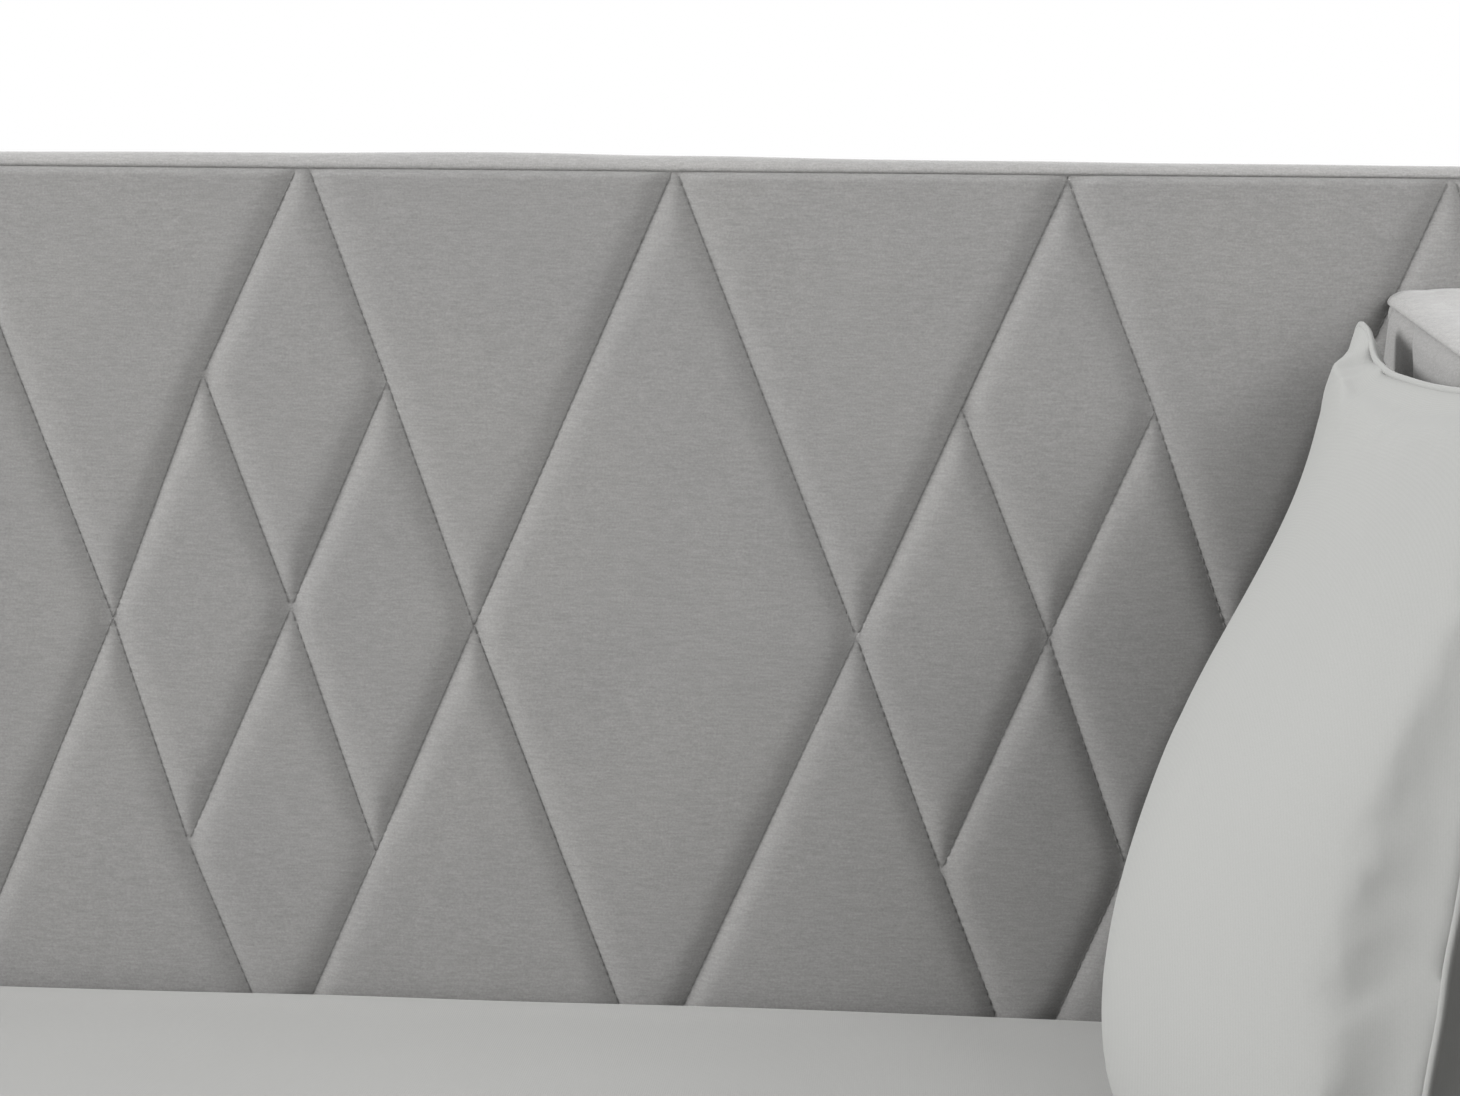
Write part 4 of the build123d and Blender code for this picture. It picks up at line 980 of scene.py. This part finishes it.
def cushion_mesh(nb=60, na=56):
    b = np.linspace(0, 1, nb)
    sx = np.linspace(FRONT[0, 0], FRONT[-1, 0], nb)
    sz = np.linspace(FRONT[0, 1], FRONT[-1, 1], nb)
    a = np.sin(np.linspace(-math.pi / 2, math.pi / 2, na))
    verts = []
    for curve in (FRONT, REAR):
        px, pz = along(curve, nb)
        verts.append(cushion_point(px[:, None], pz[:, None], sx[:, None], sz[:, None], a[None, :], b[:, None]).reshape(-1, 3))
    # the seam allowance inside keeps the edge from running out to nothing
    thin = np.maximum(0.0, 7.0 - (verts[1][:, 0] - verts[0][:, 0])) / 2
    verts[0][:, 0] -= thin
    verts[1][:, 0] += thin
    # seam once round: up one side, over the top, down the other side, along the base
    side = lambda aa: cushion_point(sx, sz, sx, sz, np.full(nb, aa), b)
    edge = lambda k: cushion_point(sx[k], sz[k], sx[k], sz[k], a, np.full(na, b[k]))
    loop = np.concatenate([side(-1.0)[:-1], edge(-1)[:-1], side(1.0)[:0:-1], edge(0)[:0:-1]])
    i = np.arange(nb - 1)[:, None] * na + np.arange(na - 1)[None, :]
    q = np.stack([i, i + 1, i + na + 1, i + na], -1).reshape(-1, 4)
    rim = np.concatenate([np.arange(na), np.arange(2, nb) * na - 1, np.arange(nb * na - 1, (nb - 1) * na - 1, -1), np.arange(nb - 2, 0, -1) * na])
    nxt = np.roll(rim, -1)
    bridge = np.stack([rim, nxt, nxt + nb * na, rim + nb * na], -1)
    corners = np.array([side(-1.0)[0], side(-1.0)[-1], side(1.0)[0], side(1.0)[-1]])
    v, q, t = weld(np.concatenate(verts), np.concatenate([q, (q + nb * na)[:, ::-1], bridge[:, ::-1]]), 0.05)
    return v, q, t, loop, corners


v, q, t, cushion_loop, cushion_corners = cushion_mesh()
cushion = make_obj("cushion_cover", v, [q, t], M_CUSHION)


def settle(o, voxel, pressure, cap, shrink=0.0, held=(), frames=20, soft=8.0, bend=0.4):
    """Voxel remesh, cloth under inner pressure, capped movement, one subdivision."""
    scene = bpy.context.scene
    mod = o.modifiers.new("remesh", "REMESH")
    mod.mode = "VOXEL"
    mod.voxel_size = voxel
    dg = bpy.context.evaluated_depsgraph_get()
    me = bpy.data.meshes.new_from_object(o.evaluated_get(dg))
    o.modifiers.remove(mod)
    mats = list(o.data.materials)
    o.data = me
    if not me.materials:
        for mt in mats:
            me.materials.append(mt)
    n = len(me.vertices)
    rest = np.zeros(n * 3, np.float32)
    me.vertices.foreach_get("co", rest)
    c = o.modifiers.new("cloth", "CLOTH")
    c.settings.quality = 6
    c.settings.mass = 0.3
    c.settings.tension_stiffness = soft
    c.settings.compression_stiffness = soft
    c.settings.shear_stiffness = soft * 0.4
    c.settings.bending_stiffness = bend
    c.settings.use_pressure = True
    c.settings.uniform_pressure_force = pressure
    c.settings.shrink_min = shrink
    c.settings.effector_weights.gravity = 0.0
    c.collision_settings.use_collision = False
    c.point_cache.frame_start, c.point_cache.frame_end = 1, frames
    for f in range(1, frames + 1):
        scene.frame_set(f)
    dg = bpy.context.evaluated_depsgraph_get()
    got = np.zeros(n * 3, np.float32)
    o.evaluated_get(dg).data.vertices.foreach_get("co", got)
    o.modifiers.remove(c)
    scene.frame_set(1)
    move = (got - rest).reshape(-1, 3)
    far = np.linalg.norm(move, axis=1)
    move *= np.minimum(1.0, cap / np.maximum(far, 1e-9))[:, None]
    # the folded corners are stiff
    for p in held:
        d = np.linalg.norm(rest.reshape(-1, 3) - np.asarray(p) * MM, axis=1)
        move *= (0.2 + 0.8 * np.clip(d / 0.05, 0.0, 1.0) ** 2)[:, None]
    me.vertices.foreach_set("co", (rest.reshape(-1, 3) + move).ravel())
    me.update()
    me.polygons.foreach_set("use_smooth", np.ones(len(me.polygons), bool))
    sub = o.modifiers.new("subdivision", "SUBSURF")
    sub.levels = sub.render_levels = 1
    return rest


def points_of(o):
    co = np.zeros(len(o.data.vertices) * 3, np.float32)
    o.data.vertices.foreach_get("co", co)
    return co.reshape(-1, 3).astype(float)


rest = settle(cushion, 0.0055, 4.0, 0.012, -0.03, cushion_corners).reshape(-1, 3).astype(float)
# it rests flat on the mattress and keeps clear of the arm
co = points_of(cushion)
co[:, 2] = np.maximum(co[:, 2], 0.4640)
co[:, 0] = np.minimum(co[:, 0], 0.9615)
cushion.data.vertices.foreach_set("co", co.astype(np.float32).ravel())
cushion.data.update()
# welt in the seam, carried along by the cover
loop = np.asarray(cushion_loop)
for _ in range(3):
    loop = (np.roll(loop, 1, 0) + 2 * loop + np.roll(loop, -1, 0)) / 4
moved = []
for p in loop * MM:
    d2 = ((rest - p) ** 2).sum(1)
    near = np.argpartition(d2, 10)[:10]
    wgt = 1.0 / (d2[near] + 1e-7)
    moved.append(p + ((co[near] - rest[near]) * wgt[:, None]).sum(0) / wgt.sum())
loop = np.array(moved)
# drawn on to the edge of the cover that the simulation left
for step in range(2):
    for i, p in enumerate(loop):
        d2 = ((co - p) ** 2).sum(1)
        loop[i] = co[np.argpartition(d2, 3)[:3]].mean(0)
    for _ in range(4):
        loop = (np.roll(loop, 1, 0) + 2 * loop + np.roll(loop, -1, 0)) / 4
loop /= MM
c = loop.mean(0)
out = (loop - c) * np.array([0.0, 1.0, 1.0])
loop = loop + 0.5 * out / np.linalg.norm(out, axis=1)[:, None]
loop[:, 2] = np.maximum(loop[:, 2], 465.4)
loop[:, 0] = np.minimum(loop[:, 0], 960.5)
welt = cord_ring("cushion_welt", loop, 1.7, M_CUSHION)

# ------------------------------------------------------------------ bodies and hidden nodes
for o in back_pieces:
    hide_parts("back_quilted_cover")
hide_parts("back_border")
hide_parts("back_rear_cover")
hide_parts("front_rail_cover")
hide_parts("mattress_top_panel", "mattress_border", "mattress_bottom_panel")
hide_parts("cushion_front_panel", "cushion_back_panel", "cushion_fill")
for o in back_pieces + [back_thread, back_strip, rear_panel, front_pad] + arm_soft:
    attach(o, "frame")
for o in [mattress] + mattress_piping:
    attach(o, "mattress")
for o in (cushion, welt):
    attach(o, "cushion")

# ------------------------------------------------------------------ floor, light, camera
fm, fnt, fb, ftc = node_mat("pale_floor")
fc = ramp(fnt, noise_tex(fnt, stretched(fnt, ftc, (1, 1, 1)), 3.0), [(0.3, (0.73, 0.73, 0.725)), (0.7, (0.75, 0.75, 0.745))])
fnt.links.new(fc, fb.inputs["Base Color"])
fb.inputs["Roughness"].default_value = 0.8
fl = make_obj("studio_floor", [(-9000, -9000, -0.3), (9000, -9000, -0.3), (9000, 9000, -0.3), (-9000, 9000, -0.3)], [np.array([[0, 1, 2, 3]])], fm)

w = bpy.data.worlds.new("studio")
w.use_nodes = True
bg = w.node_tree.nodes["Background"]
bg.inputs[0].default_value = (1.0, 1.0, 1.0, 1.0)
bg.inputs[1].default_value = 1.0
bpy.context.scene.world = w


def area(name, at, to, size, power, spread=180.0):
    l = bpy.data.lights.new(name, "AREA")
    l.shape = "RECTANGLE"
    l.size, l.size_y = size
    l.energy = power
    l.spread = math.radians(spread)
    o = bpy.data.objects.new(name, l)
    o.location = Vector(at)
    o.rotation_euler = (Vector(to) - Vector(at)).to_track_quat("-Z", "Y").to_euler()
    bpy.context.scene.collection.objects.link(o)
    return o


area("key", (-4.9, -1.17, 2.42), (0.6, 0.45, 0.75), (1.8, 1.8), 29.0, 40.0)
area("side", (2.2, -3.05, 1.8), (0.6, 0.45, 0.7), (1.4, 1.4), 61.0)

cam = bpy.data.cameras.new("photo_camera")
cam.sensor_fit = "HORIZONTAL"
cam.sensor_width = 36.0
cam.lens = 36.0 * 2600.0 / 1460.0
cam.clip_start, cam.clip_end = 0.02, 60.0
co_ = bpy.data.objects.new("photo_camera", cam)
bpy.context.scene.collection.objects.link(co_)
yaw, pitch, roll = math.radians(3.86), math.radians(5.56), math.radians(0.69)
f = Vector((-math.sin(yaw) * math.cos(pitch), math.cos(yaw) * math.cos(pitch), -math.sin(pitch)))
r0 = Vector((math.cos(yaw), math.sin(yaw), 0))
u0 = r0.cross(f)
r2 = math.cos(roll) * r0 + math.sin(roll) * u0
u2 = -math.sin(roll) * r0 + math.cos(roll) * u0
mw = Matrix.Identity(4)
for i in range(3):
    mw[i][0], mw[i][1], mw[i][2] = r2[i], u2[i], -f[i]
mw.translation = Vector((0.7222, -0.8936, 0.8432))
co_.matrix_world = mw
bpy.context.scene.camera = co_
bpy.context.scene.view_settings.view_transform = "Standard"
bpy.context.scene.view_settings.look = "None"
